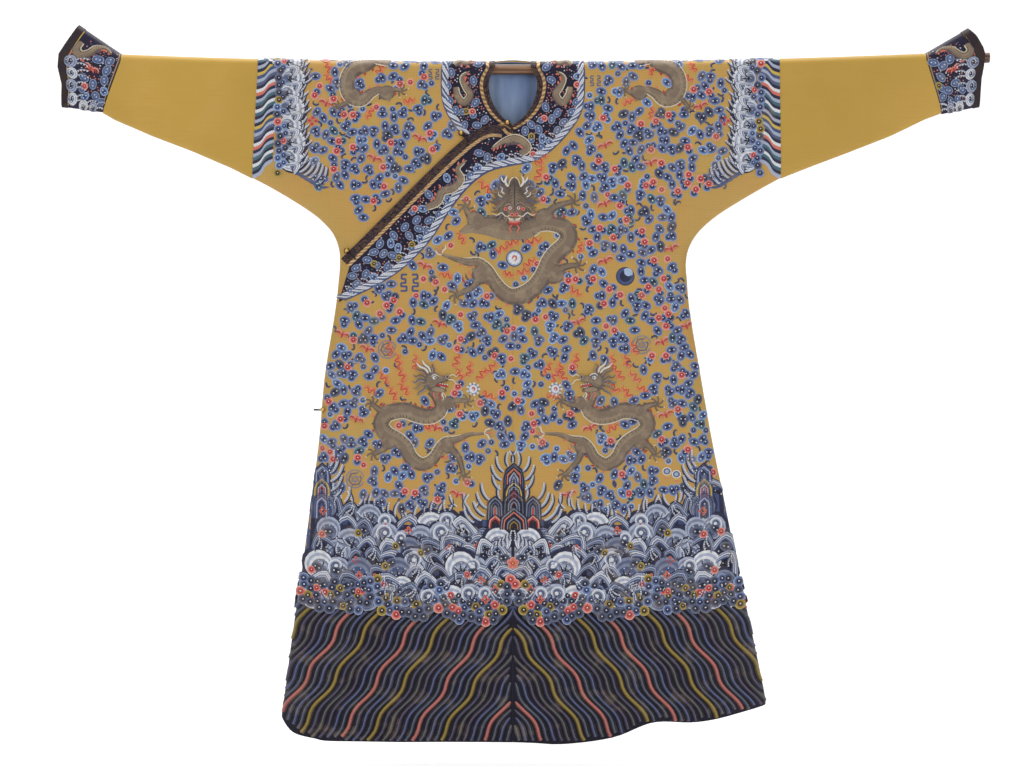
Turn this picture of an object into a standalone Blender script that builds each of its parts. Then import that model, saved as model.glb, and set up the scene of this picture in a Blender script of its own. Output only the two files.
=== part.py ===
"""Dragon robe hung through its sleeves on a round wooden pole.

The origin is on the pole's axis at the middle of the robe. +X is the wearer's left,
-Y is the front and +Z is up. Sizes are in metres.
"""

import math

import bmesh
import bpy
from mathutils import Vector

# Walls and gaps
CLOTH = 0.0022          # a silk panel with its lining
TRIM = 0.0012           # a facing, binding or braid
SEAM = 0.0003           # between two pieces that meet
LAY = 0.0006            # between a panel and the piece that lies on it

# The pole sags a little in the middle
POLE_RADIUS = 0.011
POLE_LEFT_END = 1.0145
POLE_RIGHT_END = -0.940
POLE_SAG = 0.025        # how far the middle hangs below the wearer's left end
POLE_SIDES = 16
POLE_RINGS = 15

# The cloth over the pole, the neck and the seams
FOLD_RADIUS = 0.013     # inner face of the cloth where it turns over the pole
FOLD_STEPS = 6
NECK_RISE = 0.0045      # the back of the neck stands up off the pole
NECK_RISE_HALF = 0.060
NECK_HALF = 0.053
NECK_DEPTH = 0.119
NECK_BACK = 0.004       # the opening ends this far behind the pole's axis
NECK_TAPER_DEPTH = 0.042
NECK_TAPER = 0.28
NECK_STEPS = 14
NECK_POINT_WIDTH = 0.65 # a band at the neck narrows to this share at the front point
NECK_TURN_START = 0.25  # share of the depth where the outline starts to turn to the front point
BINDING = 0.012         # dark binding at the neck
BRAID = 0.007           # gilt braid beside a binding
FLAP_BINDING = 0.018
CUFF_BINDING = 0.014
UNDERLAP_DROP = CLOTH + 2 * LAY
UNDERLAP_FADE = 0.12    # depth below the pole over which the front gains the room for the flap
UNDERLAP_HALF = 0.5     # the room ends this far from the middle
UNDERLAP_END = 0.1
FLAP_CLEAR = 0.085      # the panel under the flap stays dropped this far past the flap's edge
FLAP_FADE = 0.055
FLAP_POLE_CLEAR = 0.01
FLAP_ROWS_TOP = -0.04   # the flap is made from the front's rows below this height
TRIM_ROWS_LOW = -0.23   # neck trims are made from the rows above this height
FLAP_TRIM_ROWS_LOW = -0.60
REGION_TOP = 0.05       # outlines round the neck run up past the pole to this height

# The edge seen from the front, from the cuff along the sleeve, underarm and side:
# height, x on the wearer's left, x on the wearer's right
EDGE = (
    (-0.094, 0.912, 0.872),
    (-0.108, 0.875, 0.848),
    (-0.142, 0.805, 0.769),
    (-0.176, 0.718, 0.680),
    (-0.210, 0.628, 0.601),
    (-0.233, 0.570, 0.555),
    (-0.244, 0.547, 0.530),
    (-0.278, 0.488, 0.471),
    (-0.312, 0.4345, 0.420),
    (-0.346, 0.396, 0.386),
    (-0.380, 0.375, 0.371),
    (-0.414, 0.3685, 0.3685),
    (-0.448, 0.3706, 0.371),
    (-0.517, 0.377, 0.379),
    (-0.653, 0.400, 0.401),
    (-0.789, 0.424, 0.413),
    (-0.926, 0.452, 0.431),
    (-1.062, 0.479, 0.449),
    (-1.198, 0.509, 0.469),
    (-1.335, 0.537, 0.487),
    (-1.369, 0.539, 0.492),
)
SLEEVE_SEAM_TOP = {1: 0.5676, -1: 0.543}
SLEEVE_SEAM_Z = -0.233
SEAM_PIN_DROP = 0.03    # edge points this far under the sleeve seam still lie in its plane
SEAM_PIN_X = 0.52
LIFT_FADE = 0.2         # a panel's rows follow the pole's sag down to this depth
SIDE_END_Z = -1.335

# Hem seen from the front: x, height
HEM = (
    (-0.492, -1.369),
    (-0.475, -1.394),
    (-0.454, -1.411),
    (-0.411, -1.420),
    (-0.347, -1.426),
    (0.000, -1.428),
    (0.100, -1.432),
    (0.207, -1.418),
    (0.292, -1.386),
    (0.377, -1.386),
    (0.441, -1.375),
    (0.537, -1.352),
)
HEM_BLEND_Z = -1.06     # rows below this one lean towards the hem

# Half the hollow's depth: depth below the pole, half depth
HOLLOW = (
    (0.00, 0.0130),
    (0.10, 0.0155),
    (0.30, 0.0200),
    (0.70, 0.0250),
    (1.10, 0.0290),
    (1.50, 0.0320),
)
EDGE_ROUND_TOP = 0.055   # width over which the cloth rounds away to an edge, at the pole
EDGE_ROUND_DROP = 0.030  # what that width gains per metre below it

# Largest folds: face (-1 front, 1 back), top x, top z, bottom x, bottom z, half width, rise
FOLDS = (
    (-1, -0.335, -0.40, -0.405, -1.45, 0.034, 0.0060),
    (-1, -0.170, -0.70, -0.235, -1.45, 0.050, 0.0050),
    (-1, 0.185, -0.70, 0.265, -1.45, 0.050, 0.0060),
    (-1, 0.345, -0.40, 0.440, -1.45, 0.034, 0.0070),
    (1, -0.330, -0.40, -0.400, -1.45, 0.036, 0.0065),
    (1, -0.130, -0.55, -0.190, -1.45, 0.050, 0.0060),
    (1, 0.090, -0.60, 0.110, -1.45, 0.048, 0.0050),
    (1, 0.320, -0.40, 0.410, -1.45, 0.036, 0.0070),
)

# Rows down a panel, as heights, and columns across it, as shares of its width
ROWS = (
    0.0, -0.04, -0.09, -0.14, -0.185, -0.216, -0.233, -0.262, -0.292, -0.322, -0.350, -0.378,
    -0.414, -0.455, -0.51, -0.59, -0.69, -0.80, -0.92, -1.04, -1.16, -1.26, -1.335,
)
COLUMNS = (0.0, 0.15, 0.30, 0.46, 0.62, 0.77, 0.89, 0.96, 1.0)
SLEEVE_SHARES = (0.0, 0.2, 0.4, 0.6, 0.8, 1.0)
TEST_COLUMN = 3         # the column that says where a row lies
BELOW_HEM = -1.6

# Front flap: its top edge runs from the neck to the wearer's right underarm
FLAP_EDGE = ((0.030, -0.1170), (-0.013, -0.1225), (-0.104, -0.150), (-0.364, -0.404), (-0.420, -0.434))
# The lower border of the facing, from the wearer's left shoulder round to that underarm
FACING_BORDER = (
    (0.149, 0.050), (0.150, -0.030), (0.147, -0.076), (0.137, -0.105), (0.121, -0.129),
    (0.096, -0.158), (0.068, -0.182), (0.038, -0.197), (0.004, -0.203), (-0.049, -0.216),
    (-0.085, -0.240), (-0.118, -0.276), (-0.150, -0.323), (-0.178, -0.365), (-0.212, -0.402),
    (-0.249, -0.434), (-0.300, -0.464), (-0.358, -0.491), (-0.430, -0.520),
)
RIGHT_FACING = ((-0.148, 0.050), (-0.150, -0.030), (-0.146, -0.075), (-0.128, -0.112), (-0.111, -0.135),
                (-0.109, -0.170))
BACK_FACING = ((0.149, 0.050), (0.148, -0.020), (0.135, -0.060), (0.105, -0.092), (0.060, -0.112),
               (0.0, -0.118))
FLAP_REGION = ((-0.9, -0.55), (-0.9, -1.7), (0.1, -1.7), (0.1, -0.117))
FACING_MEETS_EDGE = (-0.045, -0.170)
FACING_FOOT_Z = -0.2035
LINING = ((-0.095, 0.050), (-0.095, -0.080), (-0.060, -0.150), (0.0, -0.175), (0.060, -0.150),
          (0.095, -0.080), (0.095, 0.050))

# Horse-hoof cuffs: outer edge from its tip down (x, z), and the seam on the sleeve
CUFFS = {
    1: {"edge": ((0.968, 0.088), (0.986, 0.070), (0.999, 0.045), (1.003, 0.031), (1.000, 0.003),
                 (0.995, -0.022), (0.9935, -0.050), (0.993, -0.080)),
        "seam": ((0.878, 0.031), (0.912, -0.096))},
    -1: {"edge": ((0.924, 0.095), (0.940, 0.070), (0.965, 0.031), (0.967, 0.003), (0.9585, -0.033),
                  (0.961, -0.080)),
         "seam": ((0.833, 0.033), (0.873, -0.092))},
}
CUFF_HALF_DEPTH = 0.0155
CUFF_SHARES = (0.0, 0.25, 0.5, 0.72)
CUFF_STRAIGHT = 0.70    # share of the edge's height that the front's points take

# Ball buttons: name, x, height
BUTTONS = (
    ("neck_button", -0.012, -0.1160),
    ("collar_button", -0.110, -0.1380),
    ("underarm_button", -0.352, -0.3870),
    ("side_button", -0.4035, -0.7250),
)
BALL_RADIUS = 0.0045
BALL_LIFT = 3 * LAY + TRIM      # the ball's back from the panel's outer face

CUT_REACH = 0.3
COLOURS = {
    "yellow_silk": (0.49, 0.33, 0.10, 1.0),
    "embroidered_silk": (0.47, 0.33, 0.13, 1.0),
    "navy_silk": (0.03, 0.03, 0.07, 1.0),
    "brocade": (0.06, 0.035, 0.03, 1.0),
    "gilt_braid": (0.55, 0.38, 0.16, 1.0),
    "blue_lining": (0.12, 0.19, 0.33, 1.0),
    "pole_wood": (0.13, 0.06, 0.035, 1.0),
    "gilt_ball": (0.70, 0.48, 0.18, 1.0),
}


def clear_scene():
    for item in list(bpy.data.objects):
        bpy.data.objects.remove(item, do_unlink=True)


def material(name):
    found = bpy.data.materials.get(name)
    if found:
        return found
    made = bpy.data.materials.new(name)
    made.use_nodes = True
    shader = made.node_tree.nodes["Principled BSDF"]
    shader.inputs["Base Color"].default_value = COLOURS[name]
    shader.inputs["Roughness"].default_value = 0.30 if name == "gilt_ball" else 0.55
    shader.inputs["Metallic"].default_value = 1.0 if name == "gilt_ball" else 0.0
    return made


def add_object(name, mesh_data, finish):
    made = bpy.data.objects.new(name, mesh_data)
    bpy.context.scene.collection.objects.link(made)
    if finish:
        made.data.materials.append(material(finish))
        made.data.shade_smooth()
        made.data.set_sharp_from_angle(angle=math.radians(40))
    return made


def between(table, value, key=0, column=1):
    """The column's value where the key column has this value, on straight lines."""
    rows = sorted(table, key=lambda row: row[key])
    if value <= rows[0][key]:
        return rows[0][column]
    for low, high in zip(rows, rows[1:]):
        if value <= high[key]:
            share = (value - low[key]) / (high[key] - low[key])
            return low[column] + share * (high[column] - low[column])
    return rows[-1][column]


def smooth_step(value):
    value = min(max(value, 0.0), 1.0)
    return value * value * (3.0 - 2.0 * value)


def pole_height(x):
    return POLE_SAG * (x / POLE_LEFT_END) ** 2


def edge_x(side, z):
    """Inner edge of one half at a height; side is 1 for the wearer's left."""
    return between(EDGE, z, 0, 1 if side > 0 else 2) - CLOTH


def distance_to_line(point, line):
    best = 1e9
    for start, end in zip(line, line[1:]):
        run = (end[0] - start[0], end[1] - start[1])
        length = run[0] ** 2 + run[1] ** 2
        share = ((point[0] - start[0]) * run[0] + (point[1] - start[1]) * run[1]) / length
        share = min(max(share, 0.0), 1.0)
        gap = math.hypot(point[0] - start[0] - share * run[0], point[1] - start[1] - share * run[1])
        best = min(best, gap)
    return best


EDGE_LINES = {side: [(edge_x(side, row[0]), row[0]) for row in EDGE] + [(edge_x(side, BELOW_HEM), BELOW_HEM)]
              for side in (1, -1)}


def rounding(x, z):
    """0 at the outer edge, rising to 1 where the panel is at full depth."""
    side = 1 if x >= 0 else -1
    width = EDGE_ROUND_TOP - EDGE_ROUND_DROP * z
    share = min(distance_to_line((abs(x), z), EDGE_LINES[side]) / width, 1.0)
    return math.sqrt(1.0 - (1.0 - share) ** 2)


def fold_rise(x, z, face):
    total = 0.0
    for fold_face, top_x, top_z, bottom_x, bottom_z, half, rise in FOLDS:
        if fold_face != face or z > top_z:
            continue
        share = (top_z - z) / (top_z - bottom_z)
        middle = top_x + share * (bottom_x - top_x)
        total += rise * smooth_step(share * 2.0) * math.exp(-((x - middle) / half) ** 2)
    return total


def half_depth(x, z, face):
    """Distance of the cloth's inner face from the robe's middle plane."""
    below = pole_height(x) - z
    full = between(HOLLOW, below) + fold_rise(x, z, face)
    if face < 0:
        side_fade = smooth_step((UNDERLAP_HALF - abs(x)) / UNDERLAP_END)
        full += UNDERLAP_DROP * smooth_step(below / UNDERLAP_FADE) * side_fade
    return SEAM / 2 + (full - SEAM / 2) * rounding(x, z)


def seam_x(side, z):
    """The sleeve seam leans a little, so its x depends on the height."""
    share = min(max(z / SLEEVE_SEAM_Z, -0.2), 1.0)
    bottom = between(EDGE, SLEEVE_SEAM_Z, 0, 1 if side > 0 else 2)
    return SLEEVE_SEAM_TOP[side] + share * (bottom - SLEEVE_SEAM_TOP[side])


def panel_point(side, row_z, column, face):
    """A point on the inner face of a front or back panel."""
    if row_z >= SLEEVE_SEAM_Z:
        reach = seam_x(side, row_z) - SEAM / 2
    else:
        reach = edge_x(side, row_z)
    across = SEAM / 2 + column * (reach - SEAM / 2)
    x = side * across
    lift = pole_height(x) * smooth_step(1.0 + row_z / LIFT_FADE)
    lean = smooth_step((HEM_BLEND_Z - row_z) / (HEM_BLEND_Z - SIDE_END_Z))
    z = row_z + lift + lean * (between(HEM, x) - SIDE_END_Z)
    if row_z < SLEEVE_SEAM_Z:
        x = side * (SEAM / 2 + column * (edge_x(side, z) - SEAM / 2))
    return Vector((x, face * half_depth(x, z, face), z))


def over_pole(x, angle):
    """A point on the inner face where the cloth turns over the pole; angle 0 is the front."""
    rise = NECK_RISE * smooth_step(1.0 - abs(x) / NECK_RISE_HALF) * math.sin(angle)
    height = pole_height(x) + FOLD_RADIUS * math.sin(angle) + rise
    return Vector((x, -FOLD_RADIUS * math.cos(angle), height))


def panel_grid(side):
    """Rows from the front hem over the pole to the back hem; columns from the middle out."""
    front = [[panel_point(side, z, column, -1) for column in COLUMNS] for z in reversed(ROWS)]
    reach = seam_x(side, 0.0) - SEAM / 2
    xs = [side * (SEAM / 2 + column * (reach - SEAM / 2)) for column in COLUMNS]
    fold = [[over_pole(x, math.pi * step / FOLD_STEPS) for x in xs] for step in range(1, FOLD_STEPS)]
    back = [[panel_point(side, z, column, 1) for column in COLUMNS] for z in ROWS]
    return front + fold + back


def panel_pins(side, grid):
    """Directions that a point may not move along when the wall gets its thickness."""
    pins = {}
    last_row = len(grid) - 1
    last_column = len(grid[0]) - 1
    for i, row in enumerate(grid):
        pins[(i, 0)] = [Vector((1, 0, 0))]
        z = row[last_column].z - pole_height(row[last_column].x)
        lean = Vector((1, 0, -side * (seam_x(side, SLEEVE_SEAM_Z) - SLEEVE_SEAM_TOP[side]) / SLEEVE_SEAM_Z))
        pins[(i, last_column)] = []
        if z >= SLEEVE_SEAM_Z - SEAM_PIN_DROP and abs(row[last_column].x) > SEAM_PIN_X:
            pins[(i, last_column)].append(lean.normalized())
        if abs(row[last_column].y) < SEAM:
            pins[(i, last_column)].append(Vector((0, 1, 0)))
    for j in range(last_column + 1):
        for i in (0, last_row):
            pins.setdefault((i, j), []).append(Vector((0, 0, 1)))
    return pins


def grid_normals(grid, closed, pins, flip):
    """Outward unit normals of a grid of points."""
    rows = len(grid)
    columns = len(grid[0])
    sums = [[Vector() for _ in range(columns)] for _ in range(rows)]
    for i in range(rows - 1):
        for j in range(columns if closed else columns - 1):
            k = (j + 1) % columns
            corners = ((i, j), (i + 1, j), (i + 1, k), (i, k))
            points = [grid[a][b] for a, b in corners]
            normal = (points[2] - points[0]).cross(points[3] - points[1])
            if normal.length > 1e-12:
                normal.normalize()
            for a, b in corners:
                sums[a][b] += normal * flip
    for i in range(rows):
        for j in range(columns):
            normal = sums[i][j]
            for pin in pins.get((i, j), []):
                normal = normal - normal.dot(pin) * pin
            sums[i][j] = normal.normalized()
    return sums


def moved(grid, normals, distance):
    """The grid moved out along its normals; distance is a number or a function of the point."""
    made = []
    for row, normal_row in zip(grid, normals):
        made.append([point + normal * (distance(point) if callable(distance) else distance)
                     for point, normal in zip(row, normal_row)])
    return made


def wall(name, inner, outer, closed, flip, finish):
    """A closed solid between two grids of the same shape; closed joins last column to first."""
    rows = len(inner)
    columns = len(inner[0])
    work = bmesh.new()
    low = [[work.verts.new(point) for point in row] for row in inner]
    high = [[work.verts.new(point) for point in row] for row in outer]
    spans = columns if closed else columns - 1

    def add(a, b, c, d):
        for corners in ((a, b, c), (a, c, d)):
            work.faces.new(corners if flip > 0 else corners[::-1])

    for i in range(rows - 1):
        for j in range(spans):
            k = (j + 1) % columns
            add(high[i][j], high[i + 1][j], high[i + 1][k], high[i][k])
            add(low[i][j], low[i][k], low[i + 1][k], low[i + 1][j])
        if not closed:
            add(low[i][0], low[i + 1][0], high[i + 1][0], high[i][0])
            add(high[i][-1], high[i + 1][-1], low[i + 1][-1], low[i][-1])
    for j in range(spans):
        k = (j + 1) % columns
        add(high[0][j], high[0][k], low[0][k], low[0][j])
        add(low[-1][j], low[-1][k], high[-1][k], high[-1][j])
    made = bpy.data.meshes.new(name)
    work.to_mesh(made)
    work.free()
    return add_object(name, made, finish)


def outline_cutter(name, points, low_y, high_y):
    """A prism along Y with the given outline (x, z), used only to cut."""
    area = sum(a[0] * b[1] - b[0] * a[1] for a, b in zip(points, points[1:] + points[:1]))
    ordered = points if area > 0 else points[::-1]
    work = bmesh.new()
    near = [work.verts.new((x, low_y, z)) for x, z in ordered]
    far = [work.verts.new((x, high_y, z)) for x, z in ordered]
    work.faces.new(near)
    work.faces.new(far[::-1])
    for j in range(len(ordered)):
        k = (j + 1) % len(ordered)
        work.faces.new((near[j], far[j], far[k], near[k]))
    made = bpy.data.meshes.new(name)
    work.to_mesh(made)
    work.free()
    cutter = add_object(name, made, None)
    cutter.hide_render = True
    cutter.display_type = "WIRE"
    return cutter


def cut(item, cutter, operation):
    change = item.modifiers.new(operation.lower(), "BOOLEAN")
    change.operation = operation
    change.object = cutter
    change.solver = "EXACT"


def offset_line(line, distance):
    """The line moved to its left side, with mitred corners."""
    made = []
    for j, point in enumerate(line):
        before = line[max(j - 1, 0)]
        after = line[min(j + 1, len(line) - 1)]
        first = Vector((point[0] - before[0], point[1] - before[1]))
        second = Vector((after[0] - point[0], after[1] - point[1]))
        first = (first if first.length else second).normalized()
        second = (second if second.length else first).normalized()
        across = Vector((-first.y - second.y, first.x + second.x))
        across = across / max(across.dot(Vector((-first.y, first.x))), 0.3)
        made.append((point[0] + across.x * distance, point[1] + across.y * distance))
    return made


def neck_line(side, width):
    """One half of the neck's outline from the shoulder down to the front point."""
    made = []
    for step in range(NECK_STEPS + 1):
        share = step / NECK_STEPS
        taper = NECK_TAPER * max(0.0, 1.0 - share * NECK_DEPTH / NECK_TAPER_DEPTH) ** 2
        half = NECK_HALF * max(1.0 - share ** 3, 0.0) ** 0.8 * (1.0 - taper)
        out = width * (1.0 - (1.0 - NECK_POINT_WIDTH) * share ** 4)
        lean = smooth_step((share - NECK_TURN_START) / (1.0 - NECK_TURN_START))
        x = half + out * math.cos(lean * math.pi / 2)
        z = -share * NECK_DEPTH - out * math.sin(lean * math.pi / 2)
        made.append((side * max(x, SEAM / 2), z))
    return [(made[0][0], REGION_TOP)] + made


def ring_band(side, inside, outside):
    """Outline of a band round one half of the front neck."""
    return neck_line(side, inside) + neck_line(side, outside)[::-1]


def build_bodies():
    """The two halves, cut in one length over the shoulders, and the front flap."""
    halves = {}
    for side, name in ((1, "body_left"), (-1, "body_right")):
        grid = panel_grid(side)
        flip = -side
        normals = grid_normals(grid, False, panel_pins(side, grid), flip)
        drop = (lambda point: -UNDERLAP_DROP * under_flap(point)) if side < 0 else (lambda point: 0.0)
        inner = moved(grid, normals, drop)
        outer = moved(inner, normals, CLOTH)
        item = wall(name, inner, outer, False, flip, "embroidered_silk")
        halves[side] = {"grid": inner, "outer_grid": grid, "normals": normals, "flip": flip, "item": item}
    opening = neck_line(-1, 0.0) + neck_line(1, 0.0)[::-1]
    neck = outline_cutter("neck_cut", opening, -CUT_REACH, NECK_BACK)
    for half in halves.values():
        cut(half["item"], neck, "DIFFERENCE")
    return halves


def under_flap(point):
    """1 where the flap covers the wearer's right front, fading to 0 above the flap's edge."""
    if point.y >= 0 or point.x > 0:
        return 0.0
    line = FLAP_EDGE
    above = distance_to_line((point.x, point.z), line)
    edge_here = between(line, point.x)
    if point.z < edge_here:
        return 1.0
    clear_of_pole = smooth_step((pole_height(point.x) - point.z - FLAP_POLE_CLEAR) / FLAP_FADE)
    return (1.0 - smooth_step((above - FLAP_CLEAR) / FLAP_FADE)) * clear_of_pole


def build_flap(halves):
    half = halves[-1]
    marks = [row[TEST_COLUMN] for row in half["outer_grid"]]
    rows = [i for i, mark in enumerate(marks) if mark.y < 0 and mark.z < FLAP_ROWS_TOP]
    inner = [half["outer_grid"][i] for i in rows]
    normals = [half["normals"][i] for i in rows]
    outer = moved(inner, normals, CLOTH)
    item = wall("front_overlap", inner, outer, False, half["flip"], "embroidered_silk")
    cut(item, outline_cutter("flap_cut", flap_region(0.0), -CUT_REACH, 0.0), "INTERSECT")
    return {"grid": inner, "normals": normals, "flip": half["flip"]}


def lay_on(name, base, outline, low_y, high_y, finish, start=CLOTH + LAY, thickness=TRIM):
    """A piece made from a panel's points, moved out, and cut to an outline."""
    inner = moved(base["grid"], base["normals"], start)
    outer = moved(base["grid"], base["normals"], start + thickness)
    item = wall(name, inner, outer, False, base["flip"], finish)
    cut(item, outline_cutter(name + "_cut", outline, low_y, high_y), "INTERSECT")
    return item


def trimmed(base, lowest):
    """The rows of a half near the neck, so that trims are cut from a small mesh."""
    rows = [i for i, row in enumerate(base["grid"]) if row[TEST_COLUMN].z > lowest]
    return {"grid": [base["grid"][i] for i in rows], "normals": [base["normals"][i] for i in rows],
            "flip": base["flip"]}


def flap_region(clear):
    """Outline of all that lies under the flap's top edge moved up by clear."""
    return offset_line(FLAP_EDGE, -clear) + list(FLAP_REGION)


def build_neck_trims(halves):
    left = trimmed(halves[1], TRIM_ROWS_LOW)
    right = trimmed(halves[-1], TRIM_ROWS_LOW)
    wide = BINDING + BRAID
    lay_on("neck_binding_left", left, ring_band(1, 0.0, BINDING), -CUT_REACH, NECK_BACK, "brocade")
    lay_on("neck_braid_left", left, ring_band(1, BINDING + SEAM, wide), -CUT_REACH, NECK_BACK, "gilt_braid")
    border = [point for point in FACING_BORDER if point[0] > 0]
    outline = neck_line(1, wide + SEAM) + [(SEAM / 2, FACING_FOOT_Z)] + border[::-1]
    lay_on("neck_facing_left", left, outline, -CUT_REACH, -SEAM, "navy_silk")

    under = outline_cutter("trim_cut", flap_region(SEAM), -CUT_REACH, 0.0)
    trims = (
        ("neck_binding_right", ring_band(-1, 0.0, BINDING), NECK_BACK, "brocade"),
        ("neck_braid_right", ring_band(-1, BINDING + SEAM, wide), NECK_BACK, "gilt_braid"),
        ("neck_facing_right", neck_line(-1, wide + SEAM)[:-3] + [FACING_MEETS_EDGE] + list(RIGHT_FACING)[::-1],
         -SEAM, "navy_silk"),
    )
    for name, outline, back_y, finish in trims:
        cut(lay_on(name, right, outline, -CUT_REACH, back_y, finish), under, "DIFFERENCE")


def joined_back(halves, lowest):
    """The back of both halves above a height as one grid, for pieces that cross the middle seam."""
    made = {"grid": [], "normals": [], "flip": halves[1]["flip"]}
    for i, row in enumerate(halves[1]["grid"]):
        if row[TEST_COLUMN].y < -1e-6 or row[TEST_COLUMN].z < lowest:
            continue
        other = halves[-1]["grid"][i]
        made["grid"].append(other[:0:-1] + row)
        made["normals"].append(halves[-1]["normals"][i][:0:-1] + halves[1]["normals"][i])
    return made


def build_back_trims(halves):
    back = joined_back(halves, TRIM_ROWS_LOW)
    wide = BINDING + BRAID
    reach = NECK_HALF * (1.0 - NECK_TAPER)
    band = [(-reach, REGION_TOP), (-reach, -BINDING / 2), (reach, -BINDING / 2), (reach, REGION_TOP)]
    lay_on("neck_binding_back", back, band, NECK_BACK + SEAM, CUT_REACH, "brocade")
    notch = [(-reach - wide, REGION_TOP), (-reach - wide, 0.0), (-reach, -BRAID - BINDING / 2),
             (reach, -BRAID - BINDING / 2), (reach + wide, 0.0), (reach + wide, REGION_TOP)]
    mirrored = [(-x, z) for x, z in BACK_FACING[:-1]]
    outline = notch + list(BACK_FACING) + mirrored[::-1]
    lay_on("neck_facing_back", back, outline, SEAM * 2 + NECK_BACK, CUT_REACH, "navy_silk")
    lay_on("neck_lining_back", back, LINING, NECK_BACK + SEAM, CUT_REACH, "blue_lining",
           start=-SEAM - TRIM)


def build_flap_trims(flap):
    near = trimmed(flap, FLAP_TRIM_ROWS_LOW)
    edge = [(FLAP_EDGE[0][0], FLAP_EDGE[0][1] - SEAM)] + list(FLAP_EDGE[1:])
    binding_end = offset_line(edge, FLAP_BINDING)
    braid_start = offset_line(edge, FLAP_BINDING + SEAM)
    braid_end = offset_line(edge, FLAP_BINDING + BRAID)
    facing_start = offset_line(edge, FLAP_BINDING + BRAID + SEAM)
    lay_on("flap_binding", near, edge + binding_end[::-1], -CUT_REACH, -SEAM, "brocade")
    lay_on("flap_braid", near, braid_start + braid_end[::-1], -CUT_REACH, -SEAM, "gilt_braid")
    border = [point for point in FACING_BORDER if point[0] < 0.05]
    lay_on("flap_facing", near, facing_start + border[::-1], -CUT_REACH, -SEAM, "navy_silk")


def ring_shares():
    """Heights of a sleeve ring's points as shares from the pole down to the bottom fold."""
    return [z / SLEEVE_SEAM_Z for z in ROWS if z > SLEEVE_SEAM_Z]


def sleeve_ring(side, share, seam_gap):
    """Points round the sleeve from its bottom fold up the front, over the pole, down the back."""
    seam_top, seam_bottom = CUFFS[side]["seam"]
    top_x = SLEEVE_SEAM_TOP[side] + SEAM / 2 + share * (seam_top[0] - seam_gap - SLEEVE_SEAM_TOP[side])
    bottom_x = between(EDGE, SLEEVE_SEAM_Z, 0, 1 if side > 0 else 2) + SEAM / 2
    bottom_x += share * (seam_bottom[0] - seam_gap - bottom_x)
    outline = [(row[1 if side > 0 else 2], row[0]) for row in EDGE]
    bottom_z = between(outline, bottom_x) + CLOTH
    front = []
    for part in ring_shares():
        x = side * (top_x + part * (bottom_x - top_x))
        high = pole_height(x)
        z = high + part * (bottom_z - high)
        front.append(Vector((x, -half_depth(x, z, 1), z)))
    arc = [over_pole(side * top_x, math.pi * step / FOLD_STEPS) for step in range(1, FOLD_STEPS)]
    back = [Vector((point.x, -point.y, point.z)) for point in front]
    return [Vector((side * bottom_x, 0.0, bottom_z))] + front[::-1] + arc + back


def cuff_edge_ring(side):
    """The cuff's outer edge with as many points as a sleeve ring."""
    edge = CUFFS[side]["edge"]
    top = edge[0][1] - CLOTH
    bottom = edge[-1][1] + CLOTH
    straight = [CUFF_STRAIGHT * (1.0 - share) for share in ring_shares()]
    half_fold = FOLD_STEPS // 2
    arc = [CUFF_STRAIGHT + (1.0 - CUFF_STRAIGHT) * step / half_fold for step in range(1, half_fold + 1)]
    heights = straight[::-1] + arc
    front = []
    for share in heights:
        z = bottom + share * (top - bottom)
        depth = CUFF_HALF_DEPTH * max(1.0 - abs(2.0 * share - 1.0) ** 2.5, 0.0) ** 0.6
        front.append(Vector((side * between(edge, z, 1, 0), -depth, z)))
    back = [Vector((point.x, -point.y, point.z)) for point in front[:-1]]
    low = Vector((side * edge[-1][0], 0.0, bottom))
    return [low] + front + back[::-1]


def ring_pins(rings, first, last, columns):
    pins = {}
    for j in range(columns):
        pins[(0, j)] = [first]
        pins[(rings - 1, j)] = [last]
    return pins


def seam_normal(side, top, bottom):
    """Normal of the plane that a sleeve seam lies in."""
    lean = side * (bottom[0] - top[0]) / (bottom[1] - top[1])
    return Vector((1.0, 0.0, -lean)).normalized()


def build_sleeve(side, name):
    rings = [sleeve_ring(side, share, SEAM * share) for share in SLEEVE_SHARES]
    bottom = (between(EDGE, SLEEVE_SEAM_Z, 0, 1 if side > 0 else 2), SLEEVE_SEAM_Z)
    first = seam_normal(side, (SLEEVE_SEAM_TOP[side], 0.0), bottom)
    last = seam_normal(side, *CUFFS[side]["seam"])
    pins = ring_pins(len(rings), first, last, len(rings[0]))
    normals = grid_normals(rings, True, pins, side)
    outer = moved(rings, normals, CLOTH)
    return wall(name, rings, outer, True, side, "yellow_silk")


def build_cuff(side, name, binding_name):
    seam_ring = [point + Vector((side * SEAM, 0, 0)) for point in sleeve_ring(side, 1.0, 0.0)]
    edge_ring = cuff_edge_ring(side)
    width = CUFFS[side]["edge"][-1][0] - CUFFS[side]["seam"][1][0]
    binding_share = 1.0 - CUFF_BINDING / width
    shares = list(CUFF_SHARES) + [binding_share, 1.0]
    rings = [[low.lerp(high, share) for low, high in zip(seam_ring, edge_ring)] for share in shares]
    first = seam_normal(side, *CUFFS[side]["seam"])
    pins = ring_pins(len(rings), first, Vector((1, 0, 0)), len(rings[0]))
    normals = grid_normals(rings, True, pins, side)
    outer = moved(rings, normals, CLOTH)
    wall(name, rings, outer, True, side, "navy_silk")
    band = rings[-2:]
    band_normals = normals[-2:]
    low = moved(band, band_normals, CLOTH + LAY / 2)
    high = moved(band, band_normals, CLOTH + LAY / 2 + TRIM)
    wall(binding_name, low, high, True, side, "brocade")


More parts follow.
